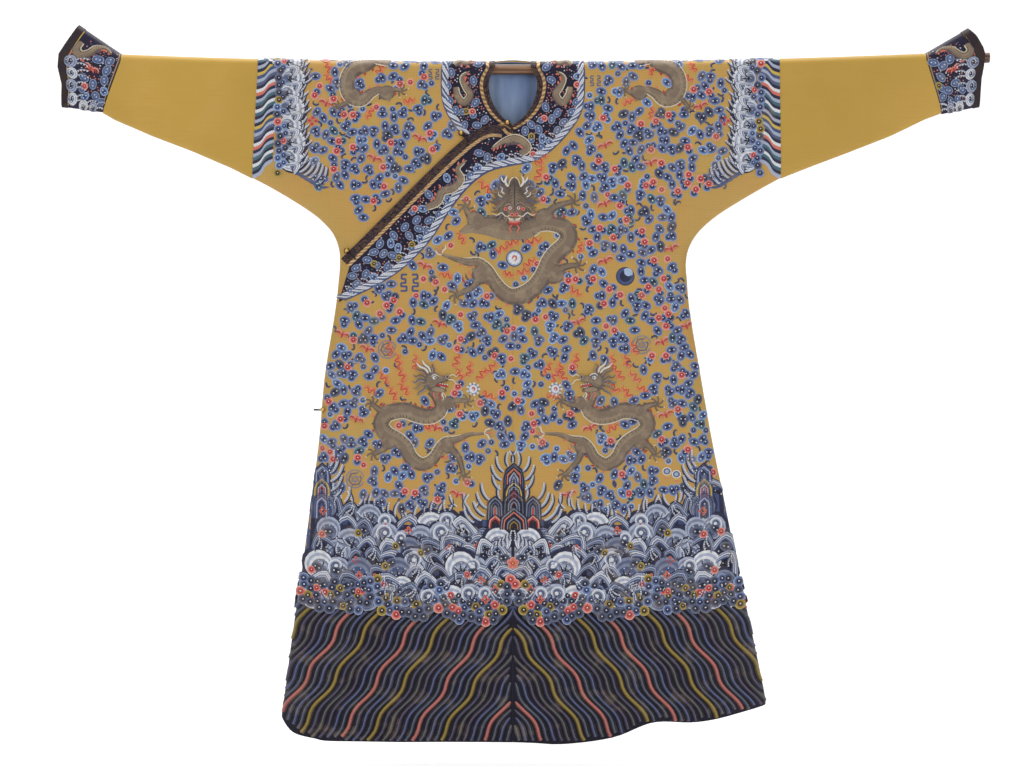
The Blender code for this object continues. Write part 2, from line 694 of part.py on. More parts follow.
def build_pole():
    work = bmesh.new()
    rings = []
    for step in range(POLE_RINGS):
        x = POLE_RIGHT_END + (POLE_LEFT_END - POLE_RIGHT_END) * step / (POLE_RINGS - 1)
        ring = []
        for side in range(POLE_SIDES):
            angle = 2.0 * math.pi * side / POLE_SIDES
            y = POLE_RADIUS * math.cos(angle)
            ring.append(work.verts.new((x, y, pole_height(x) + POLE_RADIUS * math.sin(angle))))
        rings.append(ring)
    for low, high in zip(rings, rings[1:]):
        for j in range(POLE_SIDES):
            k = (j + 1) % POLE_SIDES
            work.faces.new((low[j], low[k], high[k], high[j]))
    work.faces.new(rings[0][::-1])
    work.faces.new(rings[-1])
    made = bpy.data.meshes.new("pole")
    work.to_mesh(made)
    work.free()
    return add_object("pole", made, "pole_wood")


def build_buttons():
    for name, x, z in BUTTONS:
        y = -half_depth(x, z, -1) - CLOTH - BALL_LIFT - BALL_RADIUS
        work = bmesh.new()
        bmesh.ops.create_uvsphere(work, u_segments=12, v_segments=8, radius=BALL_RADIUS)
        made = bpy.data.meshes.new(name)
        work.to_mesh(made)
        work.free()
        ball = add_object(name, made, "gilt_ball")
        ball.location = (x, y, z)


def main():
    clear_scene()
    build_pole()
    halves = build_bodies()
    flap = build_flap(halves)
    build_neck_trims(halves)
    build_back_trims(halves)
    build_flap_trims(flap)
    build_sleeve(1, "sleeve_left")
    build_sleeve(-1, "sleeve_right")
    build_cuff(1, "cuff_left", "cuff_binding_left")
    build_cuff(-1, "cuff_right", "cuff_binding_right")
    build_buttons()


main()
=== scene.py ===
from math import acos, atan2, cos, pi, radians, sin, sqrt
import random

import bmesh
import bpy
import numpy as np
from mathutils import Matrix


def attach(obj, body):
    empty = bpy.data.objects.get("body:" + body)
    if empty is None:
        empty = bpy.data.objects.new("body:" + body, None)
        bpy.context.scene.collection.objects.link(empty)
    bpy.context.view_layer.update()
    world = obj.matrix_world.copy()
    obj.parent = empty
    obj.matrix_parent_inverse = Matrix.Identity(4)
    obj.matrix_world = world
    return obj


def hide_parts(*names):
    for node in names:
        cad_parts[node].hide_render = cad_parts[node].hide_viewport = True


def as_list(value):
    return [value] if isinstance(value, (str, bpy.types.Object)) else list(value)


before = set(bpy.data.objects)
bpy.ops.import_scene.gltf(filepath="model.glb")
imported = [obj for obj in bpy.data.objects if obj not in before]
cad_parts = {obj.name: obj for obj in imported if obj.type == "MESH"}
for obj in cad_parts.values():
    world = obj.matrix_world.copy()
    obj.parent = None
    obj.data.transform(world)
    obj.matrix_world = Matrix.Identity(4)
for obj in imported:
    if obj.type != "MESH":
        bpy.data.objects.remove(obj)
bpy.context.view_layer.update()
print("frame loaded")

# the robe's sizes, in metres: x to the wearer's left, z up, the pole's axis at the origin
robe = {"cloth": 0.0022, "trim": 0.0012, "seam": 0.0003, "lay": 0.0006, "poleEnd": 1.0145, "poleSag": 0.025,
    "fold": 0.013, "neckRise": 0.0045, "neckRiseHalf": 0.06, "neckHalf": 0.053, "neckDepth": 0.119,
    "neckBack": 0.004, "taperDepth": 0.042, "taper": 0.28, "binding": 0.012, "braid": 0.007,
    "flapBinding": 0.018, "cuffBinding": 0.014, "roundTop": 0.055, "roundDrop": 0.03, "flapClear": 0.085,
    "flapFade": 0.055, "sleeveSeamTop": {1: 0.5676, -1: 0.543}, "sleeveSeamZ": -0.233, "sideEndZ": -1.335,
    "hemBlendZ": -1.06,}
cloth, trim, seam, lay, fold = [robe[key] for key in ("cloth", "trim", "seam", "lay", "fold")]
underDrop = cloth + 2 * lay


def mm(table):
    # tables of places are written in millimetres
    if isinstance(table, dict):
        return {key: mm(value) for key, value in table.items()}
    return tuple(mm(value) for value in table) if isinstance(table, tuple) else table / 1000


# outline from the cuff along the sleeve, underarm and side: height, x on the left, x on the right
edgeTable = mm(((-94, 912, 872), (-108, 875, 848), (-142, 805, 769), (-176, 718, 680),
    (-210, 628, 601), (-233, 570, 555), (-244, 547, 530), (-278, 488, 471),
    (-312, 434.5, 420), (-346, 396, 386), (-380, 375, 371), (-414, 368.5, 368.5),
    (-448, 370.6, 371), (-517, 377, 379), (-653, 400, 401), (-789, 424, 413),
    (-926, 452, 431), (-1062, 479, 449), (-1198, 509, 469), (-1335, 537, 487),
    (-1369, 539, 492), (-1600, 560, 510)))
hemTable = mm(((-492, -1369), (-475, -1394), (-454, -1411), (-411, -1420), (-347, -1426),
    (0, -1428), (100, -1432), (207, -1418), (292, -1386), (377, -1386), (441, -1375),
    (537, -1352)))
hollowTable = mm(((0, 13), (100, 15.5), (300, 20), (700, 25), (1100, 29), (1500, 32)))

# folds and creases, given one by one: face, top x, top z, bottom x, bottom z, half width, rise, fades at both ends
creases = (
    (-1, -0.335, -0.4, -0.405, -1.45, 0.034, 0.006, False), (-1, -0.17, -0.7, -0.235, -1.45, 0.05, 0.005, False),
    (-1, 0.185, -0.7, 0.265, -1.45, 0.05, 0.006, False), (-1, 0.345, -0.4, 0.44, -1.45, 0.034, 0.007, False),
    (1, -0.33, -0.4, -0.4, -1.45, 0.036, 0.0065, False), (1, -0.13, -0.55, -0.19, -1.45, 0.05, 0.006, False),
    (1, 0.09, -0.6, 0.11, -1.45, 0.048, 0.005, False), (1, 0.32, -0.4, 0.41, -1.45, 0.036, 0.007, False),
    (-1, -0.3, -0.55, -0.33, -1.3, 0.016, -0.0022, True), (-1, -0.095, -0.85, -0.12, -1.42, 0.022, -0.002, True),
    (-1, 0.11, -0.9, 0.13, -1.42, 0.02, -0.0022, True), (-1, 0.29, -0.6, 0.335, -1.4, 0.018, -0.0024, True),
    (-1, 0.4, -0.25, 0.3, -0.52, 0.02, -0.0026, True), (-1, -0.385, -0.24, -0.29, -0.4, 0.02, -0.0024, True),
    (-1, 0.47, -0.2, 0.25, -0.3, 0.024, 0.002, True), (-1, -0.62, -0.03, -0.7, -0.15, 0.024, -0.0018, True),
    (-1, -0.76, -0.02, -0.8, -0.11, 0.018, 0.0018, True), (-1, 0.64, -0.03, 0.69, -0.17, 0.026, -0.002, True),
    (-1, 0.79, -0.02, 0.8, -0.12, 0.02, 0.0018, True), (-1, 0.01, -0.95, 0.016, -1.43, 0.03, 0.0016, True),
    (1, -0.24, -0.45, -0.28, -1.35, 0.018, -0.0024, True), (1, 0.015, -0.5, 0.01, -1.4, 0.022, -0.0022, True),
    (1, 0.22, -0.55, 0.25, -1.38, 0.018, -0.0024, True), (1, 0.4, -0.25, 0.3, -0.5, 0.022, -0.0026, True),
    (1, -0.39, -0.25, -0.29, -0.5, 0.022, -0.0026, True), (1, -0.65, -0.03, -0.72, -0.15, 0.024, -0.0018, True),
    (1, 0.66, -0.03, 0.72, -0.16, 0.024, -0.002, True))

flapEdge = mm(((30, -117), (-13, -122.5), (-104, -150), (-364, -404), (-420, -434)))
facingBorder = mm(((149, 28), (150, -30), (147, -76), (137, -105), (121, -129),
    (96, -158), (68, -182), (38, -197), (4, -203), (-49, -216), (-85, -240),
    (-118, -276), (-150, -323), (-178, -365), (-212, -402), (-249, -434), (-300, -464),
    (-358, -491), (-430, -520),))
rightFacing = mm(((-148, 28), (-150, -30), (-146, -75), (-128, -112), (-111, -135),
    (-104, -149)))
backFacing = mm(((149, 20), (148, -20), (135, -60), (105, -92), (60, -112), (0, -118)))
cuffShape = {1: {"edge": mm(((968, 88), (986, 70), (999, 45), (1003, 31), (1000, 3),
    (995, -22), (993.5, -50), (993, -80))), "seam": mm(((878, 31), (912, -96)))},
    -1: {"edge": mm(((924, 95), (940, 70), (965, 31), (967, 3), (958.5, -33),
    (961, -80))), "seam": mm(((833, 33), (873, -92)))},}


def smooth(value):
    value = np.clip(value, 0.0, 1.0)
    return value * value * (3.0 - 2.0 * value)


def curveThrough(points, per=8):
    p = np.asarray(points, float)
    p = np.vstack([2 * p[0] - p[1], p, 2 * p[-1] - p[-2]])
    t = np.linspace(0.0, 1.0, per, endpoint=False)[:, None]
    parts = [0.5 * (2 * b + (c - a) * t + (2 * a - 5 * b + 4 * c - d) * t ** 2 + (3 * b - a - 3 * c + d)
        * t ** 3) for a, b, c, d in zip(p, p[1:], p[2:], p[3:])]
    return np.vstack(parts + [p[-2][None]])


def spaced(line, count):
    # the same line with evenly spaced points
    line = np.asarray(line, float)
    run = np.concatenate([[0.0], np.cumsum(np.hypot(*np.diff(line, axis=0).T))])
    at = np.linspace(0.0, run[-1], count)
    return np.stack([np.interp(at, run, line[:, k]) for k in range(2)], axis=1)


def lineLength(line):
    return float(np.hypot(*np.diff(np.asarray(line, float), axis=0).T).sum())


def poleHeight(x):
    return robe["poleSag"] * (np.asarray(x) / robe["poleEnd"]) ** 2


edgeLine = {}
for side, column in ((1, 1), (-1, 2)):
    edgeLine[side] = curveThrough([(row[column], row[0]) for row in edgeTable], 5)
hemLine = curveThrough(hemTable, 6)


def edgeX(side, z):
    line = edgeLine[side][::-1]
    return np.interp(z, line[:, 1], line[:, 0], right=9.0)


def sideEdge(x, z):
    return np.where(x >= 0, edgeX(1, z), edgeX(-1, z))


def hemZ(x):
    return np.interp(x, hemLine[:, 0], hemLine[:, 1])


def gapTo(line, x, z):
    # distance from many points to a line
    best = np.full(np.shape(x), 9.0)
    for (ax, az), (bx, bz) in zip(line, line[1:]):
        dx, dz = bx - ax, bz - az
        share = np.clip(((x - ax) * dx + (z - az) * dz) / max(dx * dx + dz * dz, 1e-12), 0.0, 1.0)
        best = np.minimum(best, np.hypot(x - ax - share * dx, z - az - share * dz))
    return best


gapStep = 0.006
gapX = np.arange(0.0, 1.021, gapStep)
gapZ = np.arange(-1.5, 0.061, gapStep)
gapGrid = {}
for side in (1, -1):
    gridX, gridZ = np.meshgrid(gapX, gapZ, indexing="ij")
    gapGrid[side] = gapTo(edgeLine[side], gridX, gridZ) * np.where(gridX < edgeX(side, gridZ), 1.0, -1.0)


def readGrid(grid, x, z):
    i = np.clip((x - gapX[0]) / gapStep, 0, len(gapX) - 1.001)
    j = np.clip((z - gapZ[0]) / gapStep, 0, len(gapZ) - 1.001)
    a, b = i.astype(int), j.astype(int)
    s, t = i - a, j - b
    return ((grid[a, b] * (1 - s) + grid[a + 1, b] * s) * (1 - t) + (grid[a, b + 1] * (1 - s) + grid[a + 1,
        b + 1] * s) * t)


def edgeGap(x, z):
    return np.where(x >= 0, readGrid(gapGrid[1], np.abs(x), z), readGrid(gapGrid[-1], np.abs(x), z))


def creaseRise(x, z, face):
    total = np.zeros(np.shape(x))
    for foldFace, topX, topZ, bottomX, bottomZ, half, rise, fades in creases:
        if foldFace != face:
            continue
        share = (topZ - z) / (topZ - bottomZ)
        middle = topX + np.clip(share, 0.0, 1.0) * (bottomX - topX)
        along = smooth(share * 4.0) * smooth((1.0 - share) * 4.0) if fades else smooth(share * 2.0)
        total += rise * along * np.exp(-((x - middle) / half) ** 2)
    return total


def flapZ(x):
    line = np.array(flapEdge[::-1])
    return np.interp(x, line[:, 0], line[:, 1])


def underFlap(x, z):
    # 1 where the flap covers the right front, fading to 0 above its edge
    above = gapTo(flapEdge, x, z)
    clear = smooth((poleHeight(x) - z - 0.01) / robe["flapFade"])
    fading = (1.0 - smooth((above - robe["flapClear"]) / robe["flapFade"])) * clear
    return np.where(x > 0.0, 0.0, np.where(z < flapZ(x), 1.0, fading))


def surface(x, z, face, layer):
    # outer face of the cloth; layer is "top" for what shows, "under" for the right half below the flap
    below = poleHeight(x) - z
    full = np.interp(below, [r[0] for r in hollowTable], [r[1] for r in hollowTable]) + creaseRise(x, z, face)
    if face < 0:
        full = full + underDrop * smooth(below / 0.12) * smooth((0.5 - np.abs(x)) / 0.1)
        if layer == "under":
            full = full - underDrop * underFlap(x, z)
        elif layer == "top":
            full = full - underDrop * np.where(z > flapZ(x), underFlap(x, z), 0.0)
    width = robe["roundTop"] - robe["roundDrop"] * z + cloth
    share = np.clip(edgeGap(x, z) / width, 0.0, 1.0)
    depth = (full + cloth) * np.sqrt(1.0 - (1.0 - share) ** 2)
    radius = fold + cloth
    angle = np.clip(-below, 0.0, pi * radius) / radius
    rise = robe["neckRise"] * smooth(1.0 - np.abs(x) / robe["neckRiseHalf"]) * np.sin(angle)
    flat = below >= 0.0
    y = face * np.where(flat, depth, radius * np.cos(angle))
    height = np.where(flat, z, poleHeight(x) + radius * np.sin(angle) + rise)
    return np.stack([x, y, height], axis=-1)


def onCloth(x, z, face, lift=0.0, layer="top"):
    # a point on the cloth, moved out by lift
    x, z = np.broadcast_arrays(np.asarray(x, float), np.asarray(z, float))
    step = 0.0012
    here = surface(x, z, face, layer)
    acrossX = surface(x + step, z, face, layer) - surface(x - step, z, face, layer)
    acrossZ = surface(x, z + step, face, layer) - surface(x, z - step, face, layer)
    normal = np.cross(acrossX, acrossZ) * -face
    normal /= np.maximum(np.linalg.norm(normal, axis=-1, keepdims=True), 1e-9)
    return here + normal * np.asarray(lift, float)[..., None]


def seamX(side, z):
    bottom = edgeX(side, np.array(robe["sleeveSeamZ"]))
    share = np.clip(z / robe["sleeveSeamZ"], -0.2, 1.0)
    return robe["sleeveSeamTop"][side] + share * (bottom - robe["sleeveSeamTop"][side])


def cuffInner(side, s, v, face):
    # inner face of a cuff: s runs from the sleeve seam to the edge, v from the bottom to the top
    (topX, _), (bottomX, bottomZ) = cuffShape[side]["seam"]
    high = np.minimum(v / 0.7, 1.0)
    angle = np.clip((v - 0.7) / 0.3, 0.0, 1.0) * pi / 2
    x = bottomX + high * (topX - bottomX)
    poleZ = poleHeight(topX)
    lowZ = bottomZ + cloth
    zSeam = lowZ + high * (poleZ - lowZ)
    gap = np.abs(zSeam - lowZ)
    width = 0.058
    depth = np.interp(poleZ - zSeam, [r[0] for r in hollowTable], [r[1] for r in hollowTable])
    depth = depth * np.sqrt(1.0 - (1.0 - np.clip(gap / width, 0.0, 1.0)) ** 2)
    flat = v <= 0.7
    ySeam = np.where(flat, depth, fold * np.cos(angle))
    zSeam = np.where(flat, zSeam, poleZ + fold * np.sin(angle))
    edge = np.array(cuffShape[side]["edge"])[::-1]
    top, bottom = edge[-1, 1] - cloth, edge[0, 1] + cloth
    zEdge = bottom + v * (top - bottom)
    xEdge = np.interp(zEdge, edge[:, 1], edge[:, 0])
    yEdge = 0.0155 * np.maximum(1.0 - np.abs(2.0 * v - 1.0) ** 2.5, 0.0) ** 0.6
    low = np.stack([side * x, face * ySeam, zSeam], axis=-1)
    far = np.stack([side * xEdge, face * yEdge, zEdge], axis=-1)
    return low + np.asarray(s)[..., None] * (far - low)


def onCuff(side, s, v, face, lift=0.0):
    s, v = np.broadcast_arrays(np.asarray(s, float), np.clip(np.asarray(v, float), 0.0, 1.0))
    step = 0.012
    alongS = cuffInner(side, s + step, v, face) - cuffInner(side, s - step, v, face)
    alongV = (cuffInner(side, s, np.minimum(v + step, 1.0), face) - cuffInner(side, s, np.maximum(v - step,
        0.0), face))
    normal = np.cross(alongS, alongV) * -face * side
    normal /= np.maximum(np.linalg.norm(normal, axis=-1, keepdims=True), 1e-9)
    return cuffInner(side, s, v, face) + normal * (cloth + np.asarray(lift, float))[..., None]


def neckLine(side, width, top=0.028):
    # one half of the neck opening, moved out by width, from the shoulder down to its point
    share = np.linspace(0.0, 1.0, 29)
    taper = robe["taper"] * np.maximum(0.0, 1.0 - share * robe["neckDepth"] / robe["taperDepth"]) ** 2
    half = robe["neckHalf"] * np.maximum(1.0 - share ** 3, 0.0) ** 0.8 * (1.0 - taper)
    out = width * (1.0 - 0.35 * share ** 4)
    lean = smooth((share - 0.25) / 0.75)
    x = np.maximum(half + out * np.cos(lean * pi / 2), seam / 2)
    z = -share * robe["neckDepth"] - out * np.sin(lean * pi / 2)
    return [(side * x[0], top)] + [(side * a, b) for a, b in zip(x, z)]


def alongAndAcross(line):
    # unit steps along a line and to its left
    run = np.gradient(np.asarray(line, float), axis=0)
    run /= np.maximum(np.linalg.norm(run, axis=1, keepdims=True), 1e-9)
    return run, np.stack([-run[:, 1], run[:, 0]], axis=1)


def offsetLine(line, distance):
    return line + alongAndAcross(line)[1] * distance


def pickOnly(*pieces):
    bpy.ops.object.select_all(action="DESELECT")
    for piece in pieces:
        piece.select_set(True)
    bpy.context.view_layer.objects.active = pieces[0]


def settle(piece, *modifiers):
    # applies the modifiers given as (type, {setting: value})
    pickOnly(piece)
    for kind, settings in modifiers:
        change = piece.modifiers.new(kind.lower(), kind)
        for name, value in settings.items():
            setattr(change, name, value)
        bpy.ops.object.modifier_apply(modifier=change.name)
    return piece


def joinAll(name, pieces):
    pickOnly(*pieces)
    if len(pieces) > 1:
        bpy.ops.object.join()
    piece = bpy.context.object
    piece.name = name
    piece.data.name = name
    return piece


def layGrid(name, columns, rows, place, flip, *materials):
    # a grid shaped by place(u, v), each from 0 to 1
    bpy.ops.object.select_all(action="DESELECT")
    bpy.ops.mesh.primitive_grid_add(x_subdivisions=columns, y_subdivisions=rows, size=2.0)
    piece = bpy.context.object
    piece.name = piece.data.name = name
    flat = np.empty(len(piece.data.vertices) * 3)
    piece.data.vertices.foreach_get("co", flat)
    u, v, _ = (flat.reshape(-1, 3).T + 1.0) / 2.0
    piece.data.vertices.foreach_set("co", place(u, v).ravel())
    piece.data.update()
    if flip:
        piece.data.flip_normals()
    for material in materials:
        piece.data.materials.append(material)
    return piece


def finishPiece(piece, materials, slot, replaced=()):
    pickOnly(piece)
    bpy.ops.object.shade_smooth_by_angle(angle=radians(50))
    piece.data.materials.clear()
    for material in materials:
        piece.data.materials.append(material)
    if replaced:
        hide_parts(*replaced)
    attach(piece, "root")
    return piece


# shader helpers: a Wire is one socket that can be added, multiplied and so on
class Wire:
    def __init__(self, look, socket):
        self.look = look
        self.socket = socket

    def maths(self, operation, first, second):
        return self.look.node("ShaderNodeMath", {"operation": operation}, {0: first, 1: second})


for word, operation in (("add", "ADD"), ("sub", "SUBTRACT"), ("mul", "MULTIPLY")):
    setattr(Wire, f"__{word}__", lambda self, other, how=operation: self.maths(how, self, other))
    setattr(Wire, f"__r{word}__", lambda self, other, how=operation: self.maths(how, other, self))


class Look:
    def __init__(self, name, **constants):
        self.material = bpy.data.materials.new(name)
        self.material.use_nodes = True
        self.tree = self.material.node_tree
        self.shader = self.tree.nodes["Principled BSDF"]
        for socket, value in constants.items():
            self.shader.inputs[socket.replace("_", " ")].default_value = value

    def fill(self, made, values):
        for name, value in values.items():
            if isinstance(value, Wire):
                self.tree.links.new(value.socket, made.inputs[name])
            else:
                made.inputs[name].default_value = value

    def node(self, kind, settings, values, out=0):
        made = self.tree.nodes.new(kind)
        for name, value in settings.items():
            if name != "stops":
                setattr(made, name, value)
                continue
            while len(made.color_ramp.elements) < len(value):
                made.color_ramp.elements.new(0.5)
            for element, (at, colour) in zip(made.color_ramp.elements, value):
                element.position, element.color = at, colour
        self.fill(made, values)
        return Wire(self, made.outputs[out])

    def place(self):
        return self.node("ShaderNodeTexCoord", {}, {}, "Object")

    def uv(self, name):
        return self.node("ShaderNodeUVMap", {"uv_map": name}, {})

    def stretched(self, *scale):
        return self.node("ShaderNodeMapping", {}, {"Vector": self.place(), "Scale": scale})

    def noise(self, scale, detail=3.0, vector=None):
        return self.node("ShaderNodeTexNoise", {}, {"Vector": vector or self.place(), "Scale": scale,
            "Detail": detail, "Roughness": 0.55})

    def bands(self, way, vector, scale, distortion, detail=1.0):
        return self.node("ShaderNodeTexWave", {"wave_type": "BANDS", "bands_direction": way},
            {"Vector": vector, "Scale": scale, "Distortion": distortion, "Detail": detail}, "Fac")

    def cells(self, feature, name, scale, randomness):
        return self.node("ShaderNodeTexVoronoi", {"feature": feature}, {"Vector": self.uv(name), "Scale": scale,
            "Randomness": randomness})

    def mix(self, amount, low, high):
        return self.node("ShaderNodeMix", {"data_type": "RGBA"}, {0: amount, 6: low, 7: high}, 2)

    def ramp(self, value, stops):
        return self.node("ShaderNodeValToRGB", {"stops": stops}, {"Fac": value})

    def step(self, value, low, high):
        return self.node("ShaderNodeMapRange", {"interpolation_type": "SMOOTHSTEP"},
            {"Value": value, "From Min": low, "From Max": high})

    def finish(self, height, distance, strength, **wires):
        # colour, roughness and so on, and the bump
        self.fill(self.shader, {name.replace("_", " "): wire for name, wire in wires.items()})
        bump = self.node("ShaderNodeBump", {}, {"Height": height, "Distance": distance, "Strength": strength})
        self.fill(self.shader, {"Normal": bump})
        return self.material


def rgb(*screen):
    # a colour as seen on screen, 0 to 255, turned into light
    parts = [v / 255.0 for v in screen]
    return tuple(v / 12.92 if v <= 0.04045 else ((v + 0.055) / 1.055) ** 2.4 for v in parts) + (1.0,)


silk = {
    "yellow": rgb(186, 150, 66), "yellowWarm": rgb(196, 155, 78), "yellowDull": rgb(168, 135, 62),
    "ground": rgb(188, 153, 84), "groundWarm": rgb(196, 147, 80), "navy": rgb(34, 30, 52), "navyDeep": rgb(22, 19, 36),
    "hemGround": rgb(20, 17, 34), "waveGround": rgb(86, 92, 118), "lining": rgb(122, 142, 178), "threadPitch": 0.00055,
}


def weave(look):
    # fine plain ribs, across and along
    place, pitch = look.place(), silk["threadPitch"] * 10
    return look.bands("Z", place, 0.5 / pitch, 0.6) * 0.6 + look.bands("X", place, 0.35 / pitch, 0.8) * 0.4


def silkParts(name):
    look = Look(name, Sheen_Weight=0.06, Sheen_Roughness=0.4, Specular_IOR_Level=0.22)
    cloud = look.step(look.noise(6.0, 4.0), 0.35, 0.68)
    slub = look.noise(60.0, 2.0, look.stretched(0.25, 1.0, 6.0))
    return look, cloud, slub, weave(look)


def silkLook(name, base, warm, dull, rough=0.50):
    look, cloud, slub, threads = silkParts(name)
    # soft patches pulled toward the dull tone: a painted crease shade, laid at random
    patch = look.step(look.noise(2.2, 2.0), 0.40, 0.66)
    colour = look.mix(cloud * 0.55, base, warm)
    colour = look.mix(patch * 0.35, colour, dull)
    colour = look.mix(look.step(slub, 0.52, 0.75) * 0.22, colour, dull)
    colour = look.mix(threads * 0.12, colour, tuple(v * 0.72 for v in dull[:3]) + (1.0,))
    return look.finish(threads * 0.7 + slub * 0.3, 0.00018, 0.6, Base_Color=colour,
        Roughness=rough - threads * 0.08 + cloud * 0.06)


def groundLook():
    # yellow ground that turns grey-blue under the waves and near black above the hem
    look, cloud, slub, threads = silkParts("embroideredGround")
    height = look.node("ShaderNodeSeparateXYZ", {}, {0: look.place()}, "Z")
    drift = look.noise(9.0, 2.0) * 0.05
    yellow = look.mix(cloud * 0.6, silk["ground"], silk["groundWarm"])
    yellow = look.mix(look.step(slub, 0.52, 0.75) * 0.25, yellow, silk["yellowDull"])
    colour = look.mix(look.step(height + drift, -0.985, -1.0), yellow, silk["waveGround"])
    colour = look.mix(look.step(height, -1.118, -1.126), colour, silk["hemGround"])
    colour = look.mix(threads * 0.15, colour, silk["hemGround"])
    return look.finish(threads * 0.7 + slub * 0.3, 0.00018, 0.6, Base_Color=colour, Roughness=0.52 - threads * 0.08)


def liningLook():
    look = Look("blueLining", Sheen_Weight=0.05, Specular_IOR_Level=0.25)
    soft = look.noise(14.0, 3.0, look.stretched(1.0, 1.0, 0.35))
    threads = weave(look)
    # the colour follows the same noise as the bump, darker in the folds' hollows and lighter on their crests: painted
    # fold shade and highlight
    colour = look.ramp(soft, ((0.3, rgb(92, 112, 152)), (0.55, silk["lining"]), (0.75, rgb(150, 168, 198))))
    colour = look.mix(threads * 0.15, colour, rgb(70, 84, 120))
    return look.finish(soft * 0.8 + threads * 0.2, 0.0012, 0.5, Base_Color=colour, Roughness=0.45 - threads * 0.06)


def brocadeLook():
    # dark ground with small gold and plum figures that follow the strip
    look = Look("darkBrocade", Sheen_Weight=0.05, Specular_IOR_Level=0.25)
    figures = look.cells("F1", "strip", 145.0, 0.55)
    ring = look.step(figures, 0.30, 0.38) * look.step(figures, 0.62, 0.50)
    dots = look.step(figures, 0.16, 0.10)
    threads = weave(look)
    gold = look.mix(look.step(look.noise(40.0, 2.0), 0.42, 0.60), rgb(112, 82, 62), rgb(82, 60, 70))
    colour = look.mix(ring * 0.6, rgb(28, 19, 27), gold)
    colour = look.mix(dots, colour, rgb(156, 124, 92))
    colour = look.mix(threads * 0.2, colour, rgb(20, 14, 20))
    return look.finish(ring + dots + threads * 0.3, 0.0004, 0.7, Base_Color=colour, Roughness=0.5 - ring * 0.12)


def braidLook():
    look = Look("giltBraid", Specular_IOR_Level=0.5)
    twistAndShade = look.bands("DIAGONAL", look.uv("strip"), 62.0, 1.5)
    wear = look.noise(70.0, 3.0)
    # the twist's crests are painted light and its grooves painted dark: a painted highlight and shade along the cord,
    # over the braid's gold
    colour = look.mix(twistAndShade, rgb(128, 92, 56), rgb(214, 178, 124))
    colour = look.mix(look.step(wear, 0.52, 0.68) * 0.6, colour, rgb(104, 78, 62))
    return look.finish(twistAndShade, 0.0006, 0.9, Base_Color=colour, Roughness=0.48 - twistAndShade * 0.12,
        Metallic=0.35 * look.step(wear, 0.62, 0.45))


def threadLook(name, pitch, depth, rough):
    # embroidery: colour from the stitches' own attribute, satin stitches across the uv map "stitch"
    look = Look(name, Sheen_Weight=0.05, Specular_IOR_Level=0.28)
    dye = look.node("ShaderNodeAttribute", {"attribute_name": "dye"}, {}, "Color")
    strands = look.bands("X", look.uv("stitch"), 0.5 / (pitch * 10), 1.2)
    colour = look.mix(strands * 0.30, dye, look.mix(0.55, dye, (0.02, 0.015, 0.03, 1.0)))
    colour = look.mix(look.step(look.noise(26.0, 3.0), 0.50, 0.72) * 0.18, colour, rgb(170, 150, 120))
    return look.finish(strands, depth, 0.8, Base_Color=colour, Roughness=rough - strands * 0.1)


def scaleLook():
    # couched gold gone brown: overlapping scales along the body, from the uv map "stitch" in metres
    look = Look("goldScales", Specular_IOR_Level=0.5)
    dye = look.node("ShaderNodeAttribute", {"attribute_name": "dye"}, {}, "Color")
    rim = look.step(look.cells("DISTANCE_TO_EDGE", "stitch", 330.0, 0.4), 0.14, 0.03)
    wear = look.noise(55.0, 3.0)
    colour = look.mix(rim * 0.5, dye, rgb(74, 62, 58))
    colour = look.mix(look.step(wear, 0.50, 0.66) * 0.35, colour, rgb(168, 146, 112))
    return look.finish(1.0 - rim, 0.0005, 0.8, Base_Color=colour, Roughness=0.5 - rim * 0.1,
        Metallic=0.25 * look.step(wear, 0.6, 0.4))


def woodLook():
    look = Look("poleWood", Specular_IOR_Level=0.5, Coat_Weight=0.15, Coat_Roughness=0.3)
    grain = look.noise(30.0, 5.0, look.stretched(0.12, 1.0, 1.0))
    rings = look.bands("Z", look.stretched(0.05, 1.0, 1.0), 34.0, 6.0, 3.0)
    colour = look.ramp(grain * 0.65 + rings * 0.35, ((0.25, rgb(62, 42, 30)), (0.5, rgb(104, 70, 46)),
        (0.75, rgb(142, 102, 70))))
    return look.finish(grain, 0.0004, 0.5, Base_Color=colour, Roughness=0.42 + grain * 0.2)


def giltLook():
    look = Look("giltBall", Specular_IOR_Level=0.5)
    wear = look.noise(420.0, 3.0)
    colour = look.mix(look.step(wear, 0.45, 0.7), rgb(214, 176, 96), rgb(128, 92, 52))
    return look.finish(wear, 0.0002, 0.5, Base_Color=colour, Roughness=0.28 + wear * 0.25,
        Metallic=1.0 - look.step(wear, 0.6, 0.75) * 0.6)


yellowSilk = silkLook("yellowSilk", silk["yellow"], silk["yellowWarm"], silk["yellowDull"])
groundSilk = groundLook()
navySilk = silkLook("navySatin", silk["navy"], silk["navy"], silk["navyDeep"], 0.42)
blueLining, darkBrocade, giltBraid = liningLook(), brocadeLook(), braidLook()
flossThread = threadLook("flossThread", 0.0008, 0.00025, 0.42)
stripeThread = threadLook("stripeThread", 0.0009, 0.0003, 0.38)
goldScales, poleWood, giltBall = scaleLook(), woodLook(), giltLook()
print("materials made")

shell = {"columns": 44, "rowStep": 0.008, "foldSteps": 14, "easeOut": 1.7, "sleeveSteps": (40, 96), "cuffSteps": 72}


def wall(thickness):
    # gives a sheet its thickness, with the second material inside
    return ("SOLIDIFY", {"thickness": thickness, "offset": -1.0, "material_offset": 1, "material_offset_rim": 0})


def byFace(face, lay):
    made = np.empty((len(face), 3))
    for way in (-1, 1):
        pick = face == way
        made[pick] = lay(pick, way)
    return made


def acrossTo(side, u, reach):
    # from the centre seam out to reach, with the columns closer together at the edge
    return side * (seam / 2 + (1.0 - (1.0 - u) ** shell["easeOut"]) * (reach - seam / 2))


